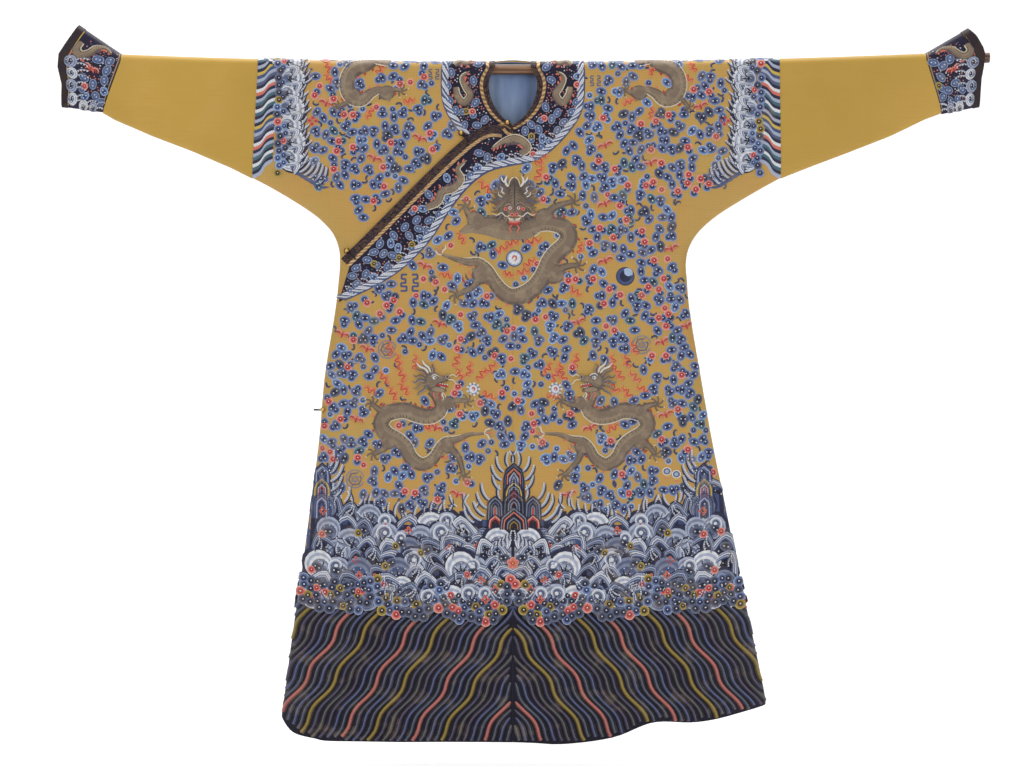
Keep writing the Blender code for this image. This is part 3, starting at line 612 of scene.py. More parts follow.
def bodyRows():
    # rows from the front hem over the pole to the back hem: face, height, arc
    flat = np.append(np.arange(robe["sideEndZ"], -1e-6, shell["rowStep"]), 0.0)
    arc = np.linspace(0.0, pi, shell["foldSteps"])[1:-1] * (fold + cloth)
    half = len(arc) // 2
    rows = [(-1, z, 0.0) for z in flat] + [(-1, 0.0, a) for a in arc[:half]]
    rows += [(1, 0.0, pi * (fold + cloth) - a) for a in arc[half:]] + [(1, z, 0.0) for z in flat[::-1]]
    return np.array(rows)


def bodyHalf(side, name):
    rows = bodyRows()

    def place(u, v):
        face, rowZ, arc = rows[np.rint(v * (len(rows) - 1)).astype(int)].T
        reach = np.where(rowZ >= robe["sleeveSeamZ"], seamX(side, rowZ), edgeX(side, np.minimum(rowZ, -0.1)))
        x = acrossTo(side, u, reach)
        lean = smooth((robe["hemBlendZ"] - rowZ) / (robe["hemBlendZ"] - robe["sideEndZ"]))
        z = rowZ + poleHeight(x) * smooth(1.0 + rowZ / 0.2) + lean * (hemZ(x) - robe["sideEndZ"])
        x = np.where(rowZ < robe["sleeveSeamZ"], acrossTo(side, u, edgeX(side, np.minimum(z, -0.1))), x)
        z = z + arc
        return byFace(face, lambda pick, way: onCloth(x[pick], z[pick], way, 0.0, "under"))

    return layGrid(name, shell["columns"], len(rows) - 1, place, side < 0, groundSilk, blueLining)


def cutNeck(pieces):
    line = np.array(neckLine(-1, 0.0, 0.06) + neckLine(1, 0.0, 0.06)[::-1])
    count = len(line)
    bpy.ops.object.select_all(action="DESELECT")
    bpy.ops.mesh.primitive_circle_add(vertices=count, radius=1.0, fill_type="NGON")
    cutter = bpy.context.object
    points = np.column_stack([line[:, 0], np.full(count, -0.3), line[:, 1]])
    cutter.data.vertices.foreach_set("co", points.ravel())
    bpy.ops.object.mode_set(mode="EDIT")
    bpy.ops.mesh.select_all(action="SELECT")
    bpy.ops.mesh.extrude_region_move(TRANSFORM_OT_translate={"value": (0.0, 0.3 + robe["neckBack"], 0.0)})
    bpy.ops.mesh.select_all(action="SELECT")
    bpy.ops.mesh.normals_make_consistent(inside=False)
    bpy.ops.object.mode_set(mode="OBJECT")
    for piece in pieces:
        settle(piece, ("BOOLEAN", {"operation": "DIFFERENCE", "object": cutter, "solver": "EXACT"}))
    bpy.data.objects.remove(cutter, do_unlink=True)


bodyLeft, bodyRight = bodyHalf(1, "bodyLeft"), bodyHalf(-1, "bodyRight")
for piece in (bodyLeft, bodyRight):
    settle(piece, wall(cloth))
cutNeck((bodyLeft, bodyRight))


def flapPlace(u, v):
    x = -(1.0 - (1.0 - u) ** shell["easeOut"]) * 0.42
    for _ in range(8):
        z = hemZ(x) + v * (flapZ(x) - hemZ(x))
        x = acrossTo(-1, u, edgeX(-1, np.minimum(z, -0.1)))
    return onCloth(x, z, -1, 0.0, "flap")


frontFlap = layGrid("frontFlap", shell["columns"], 130, flapPlace, True, groundSilk, blueLining)
settle(frontFlap, wall(cloth))
print("body laid")


def tube(name, columns, rows, side, place, thickness, *materials):
    # place(u, w, face): w runs from the bottom up to the pole on either face
    def both(u, v):
        return place(u, np.where(v <= 0.5, v, 1.0 - v) * 2.0, np.where(v <= 0.5, -1, 1))

    piece = layGrid(name, columns, rows, both, side < 0, *materials)
    pickOnly(piece)
    bpy.ops.object.mode_set(mode="EDIT")
    bpy.ops.mesh.select_all(action="SELECT")
    bpy.ops.mesh.remove_doubles(threshold=0.00005)
    bpy.ops.object.mode_set(mode="OBJECT")
    return settle(piece, wall(thickness))


def sleeveTube(side, name):
    (topX, _), (bottomX, _) = cuffShape[side]["seam"]
    startBottom = float(edgeX(side, np.array(robe["sleeveSeamZ"])))
    outline = np.array(edgeTable[6::-1])

    def place(u, w, face):
        part = np.clip(1.0 - w / 0.86, 0.0, 1.0) ** 0.8
        arc = np.clip((w - 0.86) / 0.14, 0.0, 1.0) * pi * (fold + cloth) / 2
        top = robe["sleeveSeamTop"][side] + u * (topX - robe["sleeveSeamTop"][side])
        bottom = startBottom + u * (bottomX - startBottom)
        x = side * (top + part * (bottom - top))
        high = poleHeight(x)
        bottomZ = np.interp(bottom, outline[:, 1 if side > 0 else 2], outline[:, 0])
        z = high + part * (bottomZ - high) + arc
        points = byFace(face, lambda pick, way: onCloth(x[pick], z[pick], way, 0.0, "under"))
        points[:, 1] = np.where(part >= 0.999, 0.0, points[:, 1])
        return points

    return tube(name, *shell["sleeveSteps"], side, place, cloth, yellowSilk, blueLining)


def cuffTube(side, name, start, end, lift, thickness, *materials):
    def place(u, w, face):
        s = start + u * (end - start)
        points = byFace(face, lambda pick, way: onCuff(side, s[pick], w[pick], way, np.full(pick.sum(), lift)))
        points[:, 1] = np.where((w < 1e-6) | (w > 1 - 1e-6), 0.0, points[:, 1])
        return points

    return tube(name, max(3, int(24 * (end - start))), shell["cuffSteps"], side, place, thickness, *materials)


sleeveLeft, sleeveRight = sleeveTube(1, "sleeveLeft"), sleeveTube(-1, "sleeveRight")
cuffLeft, cuffRight = [cuffTube(side, name, 0.004, 1.0, 0.0, cloth, navySilk, blueLining)
    for side, name in ((1, "cuffLeft"), (-1, "cuffRight"))]
cuffEdge = {}
for side, name in ((1, "cuffBindingLeft"), (-1, "cuffBindingRight")):
    width = cuffShape[side]["edge"][-1][0] - cuffShape[side]["seam"][1][0]
    cuffEdge[side] = cuffTube(side, name, 1.0 - robe["cuffBinding"] / width, 0.998, lay / 2 + trim, trim, darkBrocade,
        darkBrocade)
print("sleeves and cuffs laid")


trimTop = lay + trim


def layStrip(name, inner, outer, along, across, face, layer, lift=trimTop, thickness=trim):
    # a flat band between two lines, with its own uv map "strip" in metres
    a, b = spaced(inner, along + 1), spaced(outer, along + 1)
    length, width = lineLength((a + b) / 2), float(np.hypot(*(b - a).T).mean())

    def place(u, v):
        index = np.rint(v * along).astype(int)
        line = a[index] + u[:, None] * (b[index] - a[index])
        return onCloth(line[:, 0], line[:, 1], face, np.full(len(u), lift), layer)

    piece = layGrid(name, across, along, place, False)
    strip = piece.data.uv_layers.new(name="strip")
    flat = np.empty(len(piece.data.loops) * 2)
    piece.data.uv_layers[0].data.foreach_get("uv", flat)
    strip.data.foreach_set("uv", (flat.reshape(-1, 2) * (width, length)).ravel())
    # turned so that its face looks away from the cloth
    middle = piece.data.polygons[len(piece.data.polygons) // 2]
    low, high = [onCloth(middle.center[0], min(middle.center[2], -0.01), face, out, "flap") for out in (0.0, 0.01)]
    if float(np.dot(np.array(middle.normal), high - low)) < 0:
        piece.data.flip_normals()
    return settle(piece, ("SOLIDIFY", {"thickness": thickness, "offset": -1.0}))


def strips(name, *rows):
    return joinAll(name, [layStrip(name, *row) for row in rows])


wide = robe["binding"] + robe["braid"]
backHalf = robe["neckHalf"] * (1.0 - robe["taper"])
arcBack = pi * (fold + cloth) / 2 - robe["neckBack"]
braidStart, braidTop = robe["binding"] + seam, trimTop + 0.0003


def backBand(top, bottom):
    return [(-backHalf, top), (backHalf, top)], [(-backHalf, bottom), (backHalf, bottom)]


neckBinding = strips("neckBinding", (neckLine(1, 0.0), neckLine(1, robe["binding"]), 56, 4, -1, "flap"),
    (neckLine(-1, 0.0), neckLine(-1, robe["binding"]), 56, 4, -1, "top"),
    (*backBand(arcBack - 0.001, -0.006), 24, 6, 1, "flap"))
neckBraid = strips("neckBraid", (neckLine(1, braidStart), neckLine(1, wide), 56, 3, -1, "flap", braidTop),
    (neckLine(-1, braidStart), neckLine(-1, wide), 56, 3, -1, "top", braidTop))
flapLine = curveThrough(((0.0, -0.1215),) + flapEdge[1:], 6)
flapLine = flapLine[flapLine[:, 0] > -0.377]
flapBand = [offsetLine(flapLine, robe["flapBinding"] + out)
    for out in (0.0, seam, robe["braid"], robe["braid"] + seam)]
flapBinding = strips("flapBinding", (flapLine, flapBand[0], 70, 5, -1, "flap"))
flapBraid = strips("flapBraid", (flapBand[1], flapBand[2], 70, 3, -1, "flap", braidTop))

# facings: left shoulder round to the flap, right shoulder, back
borderLine = curveThrough(facingBorder, 6)
borderLeft = borderLine[borderLine[:, 0] >= 0.0]
borderFlap = borderLine[(borderLine[:, 0] <= 0.004) & (borderLine[:, 0] > -0.372)]
flapInner = flapBand[3][flapBand[3][:, 0] > -0.372]
neckFacing = strips("neckFacing",
    (neckLine(1, wide + seam), np.vstack([borderLeft, [(0.0002, -0.2035)]]), 60, 14, -1, "flap"),
    (neckLine(-1, wide + seam)[:-4], rightFacing, 50, 12, -1, "top"))
flapFacing = strips("flapFacing", (flapInner, borderFlap, 90, 14, -1, "flap"))
backLine = curveThrough(backFacing, 6)
backLine = np.vstack([backLine, backLine[::-1][1:] * (-1, 1)])
backInner = [(backHalf + wide, 0.018), (backHalf + wide, 0.0), (backHalf, -0.0135)]
backInner += [(-x, z) for x, z in backInner[::-1]]
backNeckFacing = strips("backNeckFacing", (backInner, backLine, 80, 12, 1, "flap"))
backBraid = strips("backNeckBraid", (*backBand(-0.0063, -0.0132), 24, 3, 1, "flap"))
print("trims laid")


def liningPlace(u, v):
    # the lining seen inside the neck, with soft vertical folds
    x = (u * 2.0 - 1.0) * 0.095
    depth = 0.175 - 0.075 * np.abs(u * 2.0 - 1.0) ** 2.2
    z = 0.020 - v * (depth + 0.020)
    folds = 0.0011 * np.cos(x * 230.0 + 6.0 * z) * smooth(v * 3.0) + 0.0008 * np.cos(x * 95.0 - 1.0)
    return onCloth(x, z, 1, -cloth - lay - 0.0012 - np.maximum(folds, -0.0009), "flap")


neckLining = settle(layGrid("neckLining", 64, 46, liningPlace, False),
    ("SOLIDIFY", {"thickness": 0.0010, "offset": 1.0}))
# a dark brocade strip just behind the centre seam: a painted shadow, seen through the seam's gap as a dark line
seamShadowStrip = strips("middleSeamShadow", *(([(-0.004, top), (-0.004, -1.427)], [(0.004, top), (0.004, -1.427)], 110, 2, face,
    "flap", -cloth - 0.0003, 0.0004) for face, top in ((-1, -0.126), (1, -0.010))))
print("lining laid")

# embroidery threads, as worn: halo, middle, core and dot of each kind of ringed lobe
floss = {"blue": (rgb(140, 156, 188), rgb(88, 104, 146), rgb(34, 37, 72), rgb(228, 234, 240)),
    "sky": (rgb(164, 184, 212), rgb(104, 130, 176), rgb(44, 56, 102), rgb(236, 240, 244)),
    "teal": (rgb(134, 160, 172), rgb(78, 104, 124), rgb(28, 40, 62), rgb(226, 234, 236)),
    "pink": (rgb(222, 164, 150), rgb(206, 108, 98), rgb(160, 46, 52), rgb(246, 228, 220)),
    "ochre": (rgb(176, 158, 88), rgb(146, 120, 46), rgb(54, 42, 30), rgb(236, 232, 214)),
    "slate": (rgb(106, 112, 134), rgb(70, 78, 104), rgb(28, 28, 48), rgb(222, 226, 232)),
    "onNavy": (rgb(142, 158, 188), rgb(70, 86, 124), rgb(96, 114, 154), rgb(214, 222, 234)), "white": rgb(216,
    218, 222), "pale": rgb(164, 172, 194), "grey": rgb(120, 128, 150), "steel": rgb(86, 96, 126),
    "azure": rgb(68, 82, 124), "deep": rgb(40, 42, 68), "ink": rgb(24, 22, 38), "red": rgb(178, 60, 54),
    "salmon": rgb(208, 116, 98), "rose": rgb(214, 150, 138), "flame": rgb(222, 138, 78), "tealDark": rgb(70,
    104, 118), "yellow": rgb(200, 172, 82), "ochreDeep": rgb(146, 116, 44), "gold": rgb(131, 113, 95),
    "goldDark": rgb(104, 90, 79), "goldPale": rgb(220, 208, 184), "goldLight": rgb(148, 130, 107),
    "plum": rgb(104, 82, 96), "green": rgb(96, 102, 84),}


class Stitching:
    # shapes gathered on the flat cloth, laid on it together at the end
    def __init__(self):
        self.rows, self.faces, self.dyes, self.spots = [], [], [], []
        self.count = 0

    def add(self, rows, faces, dyes):
        # a row for each point: x, z, lift and its place on the uv map
        self.rows.append(np.vstack(rows))
        self.faces += [tuple(i + self.count for i in face) for face in faces]
        self.dyes += [floss[dye] if isinstance(dye, str) else dye for dye in dyes]
        self.count += len(self.rows[-1])

    def disc(self, x, z, rings, centre, sides=9, stretch=1.0, turn=0.0, lift=0.0, drift=(0.0, 0.0)):
        # rings from the outside in: radius, lift, dye; drift moves the inner ones off centre
        angle = np.arange(sides) * 2.0 * pi / sides + 0.3
        rows, faces, dyes = [], [], []
        for k, (radius, high, dye) in enumerate(rings):
            off = 1.0 - radius / rings[0][0]
            a, b = turned(np.cos(angle) * radius * stretch + drift[0] * off, np.sin(angle) * radius + drift[1] * off,
                turn)
            rows.append(np.column_stack([x + a, z + b, [high + lift] * sides, angle * 0.008, [radius] * sides]))
            for i in range(sides):
                j = (i + 1) % sides
                inner = ((k + 1) * sides + j, (k + 1) * sides + i) if k + 1 < len(rings) else (len(rings) * sides,)
                faces.append((k * sides + i, k * sides + j) + inner)
                dyes.append(dye)
        a, b = turned(drift[0] * 0.9, drift[1] * 0.9, turn)
        self.add(rows + [[[x + a, z + b, centre + lift, 0.02, 0.0]]], faces, dyes)

    def ribbon(self, line, length, half, marks, dyes, height):
        # marks run from -1 to 1 across the line, and height(mark) gives their lifts
        across, n = alongAndAcross(line)[1], len(line)
        run = np.linspace(0.0, length, n)
        rows = [np.column_stack([line + across * (s * half)[:, None], height(s), run, s * half]) for s in marks]
        faces = [(k + i, k + i + 1, k + n + i + 1, k + n + i) for k in range(0, n * len(dyes), n)
            for i in range(n - 1)]
        self.add(rows, faces, [dye for dye in dyes for _ in range(n - 1)])

    def stroke(self, path, width, dyes, rise=0.0012, lift=0.0, steps=6, ends=(0.25, 0.25), tip=0.12, curved=True):
        # a rounded line of stitches; dyes run across it from its right to its left
        line = curveThrough(path, 6) if curved and len(path) > 2 else np.asarray(path, float)
        share, taper = np.linspace(0.0, 1.0, steps + 1), np.ones(steps + 1)
        for end, rest in zip(ends, (share, 1 - share)):
            if end > 0:
                taper = np.minimum(taper, tip + (1 - tip) * np.sin(np.clip(rest / end, 0, 1) * pi / 2))
        colours = [dyes] * 2 if isinstance(dyes, str) else dyes
        self.ribbon(spaced(line, steps + 1), lineLength(line), width / 2 * taper,
            np.linspace(-1.0, 1.0, len(colours) + 1), colours, lambda s: lift + 0.0001 + rise * (1.0 - s * s) * taper)

    def patch(self, outline, dye, rise, lift, rim):
        # a filled shape, rounded up to its middle; rim is the dye of its outer third
        outline = np.asarray(outline, float)
        middle, n = outline.mean(axis=0), len(outline)
        points = np.vstack([outline, middle + (outline - middle) * 0.72, [middle]])
        lifts = [lift + 0.0001] * n + [lift + rise * 0.7] * n + [lift + rise]
        after = np.roll(outline, -1, axis=0)
        way = 1 if np.sum(outline[:, 0] * after[:, 1] - after[:, 0] * outline[:, 1]) > 0 else -1
        faces = [face[::way] for i in range(n) for face in ((i, (i + 1) % n, n + (i + 1) % n, n + i),
            (n + i, n + (i + 1) % n, 2 * n))]
        self.add([np.column_stack([points, lifts, points])], faces, [rim, dye] * n)

    def lay(self, name, place, flip, material, slot):
        # place(x, z, lift) puts the flat shapes on the cloth
        rows = np.vstack(self.rows)
        where = place(rows[:, 0], rows[:, 1], rows[:, 2])
        faces = [face[::-1] for face in self.faces] if flip else self.faces
        mesh = bpy.data.meshes.new(name)
        mesh.from_pydata(where.tolist(), [], faces)
        counts = [len(face) for face in faces]
        dye = mesh.attributes.new("dye", "FLOAT_COLOR", "CORNER")
        dye.data.foreach_set("color", np.repeat(np.array(self.dyes, float), counts, axis=0).ravel())
        loops = np.empty(len(mesh.loops), int)
        mesh.loops.foreach_get("vertex_index", loops)
        mesh.uv_layers.new(name="stitch").data.foreach_set("uv", rows[loops, 3:].ravel())
        piece = bpy.data.objects.new(name, mesh)
        bpy.context.scene.collection.objects.link(piece)
        mesh.materials.append(material)
        mesh.shade_smooth()
        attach(piece, "root")
        print(name, sum(counts) - 2 * len(counts), "triangles")


def turned(x, z, angle):
    return x * cos(angle) - z * sin(angle), x * sin(angle) + z * cos(angle)


def placed(points, x, z, size=1.0, angle=0.0, mirror=False):
    # local points in millimetres, turned, sized, mirrored and moved
    made = [turned(a * size * 0.001, b * size * 0.001, angle) for a, b in points]
    return [(x + (-a if mirror else a), z + b) for a, b in made]


def lobe(work, x, z, kind, size=0.0100, lift=0.0, sides=9):
    halo, middle, core, dot = floss[kind]
    work.disc(x, z, ((size, 0.0001, halo), (size * 0.80, 0.0008, middle), (size * 0.50, 0.0012, core)), 0.0013,
        sides, lift=lift)
    work.disc(x, z + size * 0.06, ((size * 0.19, 0.0011, dot),), 0.0019, 5, lift=lift)


def lobePair(work, x, z, turn, kind, other, size, lift):
    # two white dots in one dark core, ringed together; or two unlike lobes side by side
    dx, dz = turned(size * 0.42, 0.0, turn)
    if other != kind:
        lobe(work, x - dx, z - dz, kind, size * 0.92, lift)
        lobe(work, x + dx, z + dz, other, size * 0.92, lift + 0.0004)
        return
    halo, middle, core, dot = floss[kind]
    size *= 0.94
    work.disc(x, z, ((size, 0.0001, halo), (size * 0.86, 0.0008, middle), (size * 0.52, 0.0013, core)), 0.0014,
        12, 1.36, turn, lift)
    for sign in (-1, 1):
        work.disc(x + sign * dx, z + sign * dz, ((size * 0.20, 0.0012, dot),), 0.0021, 5, lift=lift)


def hook(work, x, z, turn, mirror):
    path = placed(((-3, 0), (3, -2.5), (8, -1.5), (10.5, 2.5), (7.5, 4.5)), x, z, 1.0, turn, mirror)
    work.stroke(path, 0.0048, ("steel", "deep"), 0.0009, 0.0, 8, (0.1, 0.45))


def beads(work, path, size, dye, lift=0.0, count=None):
    line = curveThrough(path, 5)
    for x, z in spaced(line, count or max(2, int(lineLength(line) / (size * 1.75)))):
        work.disc(x, z, ((size, -0.0002, dye),), 0.0011, 6, lift=lift)


def foamFinger(work, x, z, length, turn, mirror, lift=0.0, width=0.0036):
    # a dark bent stroke with a row of white beads along its hollow side
    stem, side, row = [placed(points, x, z, length * 1000.0, turn, mirror) for points in (
        ((0, 0), (0.35, 0.10), (0.7, 0.34), (1, 0.72)), ((0, 0.06), (0.36, 0.16), (0.68, 0.40), (0.96, 0.76)),
        ((0.02, 0.13), (0.33, 0.24), (0.62, 0.45), (0.88, 0.78)))]
    work.stroke(stem, width, "deep", 0.0010, lift, 6, (0.05, 0.4))
    work.stroke(side, width * 0.8, "pale", 0.0009, lift, 6, (0.05, 0.4))
    beads(work, row, 0.0021, "white", lift)


# the lines of a wave, from its dark edge inwards
waveTones = {
    "light": "deep white pale white grey pale grey steel", "middle": "deep pale grey pale steel grey steel azure",
    "dark": "deep grey steel grey azure steel azure deep"}
foldTones = {"light": "deep white pale white grey pale steel", "middle": "deep pale grey white steel pale azure",
    "dark": "ink grey azure pale steel grey deep"}


def waveDome(work, x, z, radius, turn, lift, tone, sides=18):
    # nested crescents of long satin stitches that meet at the hollow side; turn points to the crest
    rings = [(radius * (1.0 - k * 0.105 + (0.05 if k == 0 else 0.0)),
        0.0001 + 0.0013 * sin(min(1.0, k * 0.45) * pi / 2), dye) for k, dye in enumerate(waveTones[tone].split())]
    work.disc(x, z, rings, 0.0008, sides, 1.0, turn, lift, (-radius * 0.86, 0.0))
    bx, bz = turned(-radius * 0.55, 0.0, turn)
    for k in range(3):
        dx, dz = turned(radius * 0.62, 0.0, turn - 0.75 + k * 0.7)
        path = [(x + bx, z + bz), (x + bx + dx * 0.55, z + bz + dz * 0.45), (x + bx + dx, z + bz + dz)]
        work.stroke(path, 0.0038, "ink", 0.0008, lift + 0.0012, 4, (0.1, 0.4))
        beads(work, [(a + 0.0024, b + 0.0012) for a, b in path], 0.0017, "white", lift + 0.0014, 3)


def waveFold(work, x, z, size, turn, mirror, lift, tone):
    # parallel lines folded over like a roof, with a dark edge and a beaded hollow
    for k, dye in enumerate(foldTones[tone].split()):
        inset = (k - 1) * 2.9
        path = placed(((-size + inset * 0.9, -size * 0.75), (-size * 0.35 + inset * 0.3, size * 0.35 - inset * 0.55),
            (size * 0.10, size * 0.62 - inset * 1.05), (size * 0.62 - inset * 0.35, size * 0.12 - inset * 0.6),
            (size - inset * 0.7, -size * 0.55)), x, z, 1.0, turn, mirror)
        work.stroke(path, 0.0036, dye, 0.0009, lift + 0.00022 * k, 8, (0.1, 0.1), tip=0.4)
    row = placed(((-0.32, -0.7), (-0.05, -0.25), (0.25, -0.35), (0.42, -0.75)), x, z, size, turn, mirror)
    work.stroke(row, 0.0074, "ink", 0.0008, lift + 0.0008, 5, (0.1, 0.1), tip=0.5)
    beads(work, row, 0.0020, "white", lift + 0.0012, 4)


def curl(work, x, z, size, turn, mirror, lift):
    # a breaking crest: a spiral of pale lines round a bead
    for k, dye in enumerate(("white", "pale", "steel")):
        spiral = enumerate(np.linspace(-0.9, 4.4 - 0.3 * k, 9))
        path = placed([(cos(a) * (1 - 0.06 * i), sin(a) * (1 - 0.06 * i)) for i, a in spiral], x, z, size - k * 3.1,
            turn, mirror)
        work.stroke(path, 0.0036, dye, 0.0011, lift + 0.0002 * k, 14, (0.15, 0.25), tip=0.3)
    work.disc(x, z, ((size * 0.00042, -0.0002, "steel"), (size * 0.00024, 0.0008, "white")), 0.0014, 8,
        lift=lift + 0.0004)


def flame(work, x, z, length, turn, mirror, lift=0.0):
    # a licking tongue with red outlines
    shape = np.array(((0, -0.06), (0.16, 0.17), (0.36, -0.16), (0.56, 0.16), (0.76, -0.12), (1, 0.10)))
    shape = shape * length * 1150
    path = placed(shape, x, z, 1.0, turn, mirror)
    work.stroke(path, 0.0086, "flame", 0.0008, lift, 16, (0.15, 0.5))
    for offset, dye in ((2.4, "red"), (-2.4, "salmon")):
        work.stroke(placed(shape * (0.92, 1.0) + (0, offset), x, z, 1.0, turn, mirror), 0.0021, dye, 0.0009,
            lift + 0.0006, 16, (0.2, 0.4))
    work.spots.append(tuple(path[3]))


def bat(work, x, z, size, turn):
    def on(points, hand=1):
        return placed([(a * hand, b) for a, b in points], x, z, size, turn)

    wing = (((2, 1), (8, 8), (16, 8), (22, 2)), ((2, 0), (8, 4), (14, 3), (18, -3)),
        ((1, -1), (6, 0), (10, -2), (12, -6)))
    for hand in (1, -1):
        for k, (path, dye) in enumerate(zip(wing, ("rose", "red", "salmon"))):
            work.stroke(on(path, hand), 0.0040 * size, dye, 0.0011, 0.0002 * k, 6, (0.1, 0.5))
        beads(work, on(((6, 9), (13, 10.5), (20, 6)), hand), 0.0014 * size, "rose", 0.0005, 3)
    body = on(((0, 6), (0, 0), (0, -8)))
    work.stroke(body, 0.0058 * size, "red", 0.0016, 0.0004, 4, (0.4, 0.5))
    work.disc(*body[0], ((0.0032 * size, 0.0, "salmon"),), 0.0020, 6, lift=0.0004)


def claw(scales, work, root, foot, spread, size=1.0, lift=0.0, haunch=0.016):
    # a leg from the haunch to its foot, with spread toes and pale nails
    root, foot = np.array(root), np.array(foot)
    run = foot - root
    side = np.array((-run[1], run[0]))
    scales.disc(*root, ((haunch, 0.0002, "goldDark"), (haunch * 0.8, 0.0016, "gold"), (haunch * 0.4, 0.0028, "gold")),
        0.0030, 14, 1.15, atan2(run[1], run[0]), lift)
    for k, dye in enumerate(("red", "goldLight", "salmon", "goldDark", "red")):
        along = root + run * (0.05 + 0.13 * k) - side * (0.14 - 0.012 * k)
        tip = along - side * 0.22 - run * 0.06
        work.stroke([along, (along + tip) / 2 + run * 0.03, tip], 0.0042, dye, 0.0011, lift, 4, (0.0, 0.5))
    line = spaced(curveThrough([root, root + run * 0.45 + side * 0.12, foot], 6), 10)
    for k in range(9):
        scales.stroke(line[k:k + 2], (0.0205 - 0.0013 * k) * size, ("goldDark", "gold", "gold", "goldDark"), 0.0026,
            lift, 1, (0, 0), curved=False)
    scales.disc(*foot, ((0.0070 * size, 0.0001, "goldDark"),), 0.0024, 8, lift=lift)
    for k in range(-2, 3):
        angle = spread + k * 0.95
        end = np.array(turned(0.0185 * size, 0.0, angle))
        bend = foot + turned(0.0105 * size, 0.0, angle - 0.35)
        work.stroke([foot, bend, foot + end], 0.0044 * size, ("goldDark", "gold"), 0.0016, lift + 0.0003, 5, (0.0, 0.2),
            tip=0.5)
        work.disc(*(foot + end * 1.06), ((0.0023 * size, 0.0, "goldPale"),), 0.0015, 6, lift=lift + 0.0003)


def dragonBody(scales, work, spine, width, paleSide=1, lift=0.0, finDye="red", steps=54, start=0.10):
    line = curveThrough(spine, 8)
    length = lineLength(line)
    line, share = spaced(line, steps + 1), np.linspace(0.0, 1.0, steps + 1)
    swell = 0.16 + 0.84 * np.sin(np.clip(share / 0.55, 0.0, 1.0) * pi / 2) ** 1.1
    swell *= 1.0 - 0.25 * np.clip((share - 0.8) / 0.2, 0, 1)
    run, across = alongAndAcross(line)
    tones = ("goldDark", "gold", "gold", "goldLight", "goldLight")[::paleSide]
    scales.ribbon(line, length, width / 2 * swell, (-1.0, -0.62, -0.2, 0.25, 0.65, 1.0), tones,
        lambda s: lift + 0.0032 * sqrt(max(1 - s * s, 0.0)) * np.sqrt(swell))
    # pale couched edge on one side, small fins on the other, belly lines nearer the pale side
    half, across = (width / 2 * swell)[:, None], across * paleSide
    first = int(start * steps)
    edge = line + across * (half + 0.0006)
    work.stroke(edge[first:], 0.0024, "goldPale", 0.0016, lift + 0.0006, 44, (0.05, 0.05), curved=False)
    fin = line - across * (half + 0.0002)
    for i in range(first, steps - 1, 2):
        tip = fin[i] - across[i] * 0.0046 - run[i] * 0.0030
        work.stroke([fin[i] + run[i] * 0.003, fin[i] - across[i] * 0.0016, tip], 0.0042,
            finDye if (i // 8) % 2 else "salmon", 0.0012, lift, 3, (0.0, 0.5))
    for i in range(first, steps - 1):
        a = line[i] + across[i] * half[i] * 0.55
        b = line[i] + across[i] * half[i] * 0.93 + run[i] * 0.001
        work.stroke([a, b], 0.0015, "goldDark", 0.0010, lift + 0.0020, 1, (0, 0), curved=False)
    return line


def dragonTail(work, x, z, turn):
    for k, dye in enumerate(("goldPale", "goldLight", "salmon", "goldLight", "goldPale")):
        path = placed(((0, 0), (8, 2), (15, -2), (22, 3)), x, z, 1.0, turn + (k - 2) * 0.42)
        work.stroke(path, 0.0030, dye, 0.0010, 0.0, 6, (0.0, 0.5))


def strokes(work, on, size, lift, rows):
    # rows of path, width, dyes, rise, lift, steps and the two ends; lengths in millimetres
    for path, width, dyes, rise, high, steps, *ends in rows:
        work.stroke(on(path), width * size / 1000, dyes, rise / 1000, lift + high / 1000, steps, ends)


def dots(work, on, size, lift, rows):
    # rows of place, rings of radius, lift and dye, the middle's lift, sides, lift; lengths in millimetres
    for at, rings, centre, sides, high in rows:
        work.disc(*on((at,))[0], [(r * size / 1000, up / 1000, dye) for r, up, dye in rings], centre / 1000, sides,
            lift=lift + high / 1000)


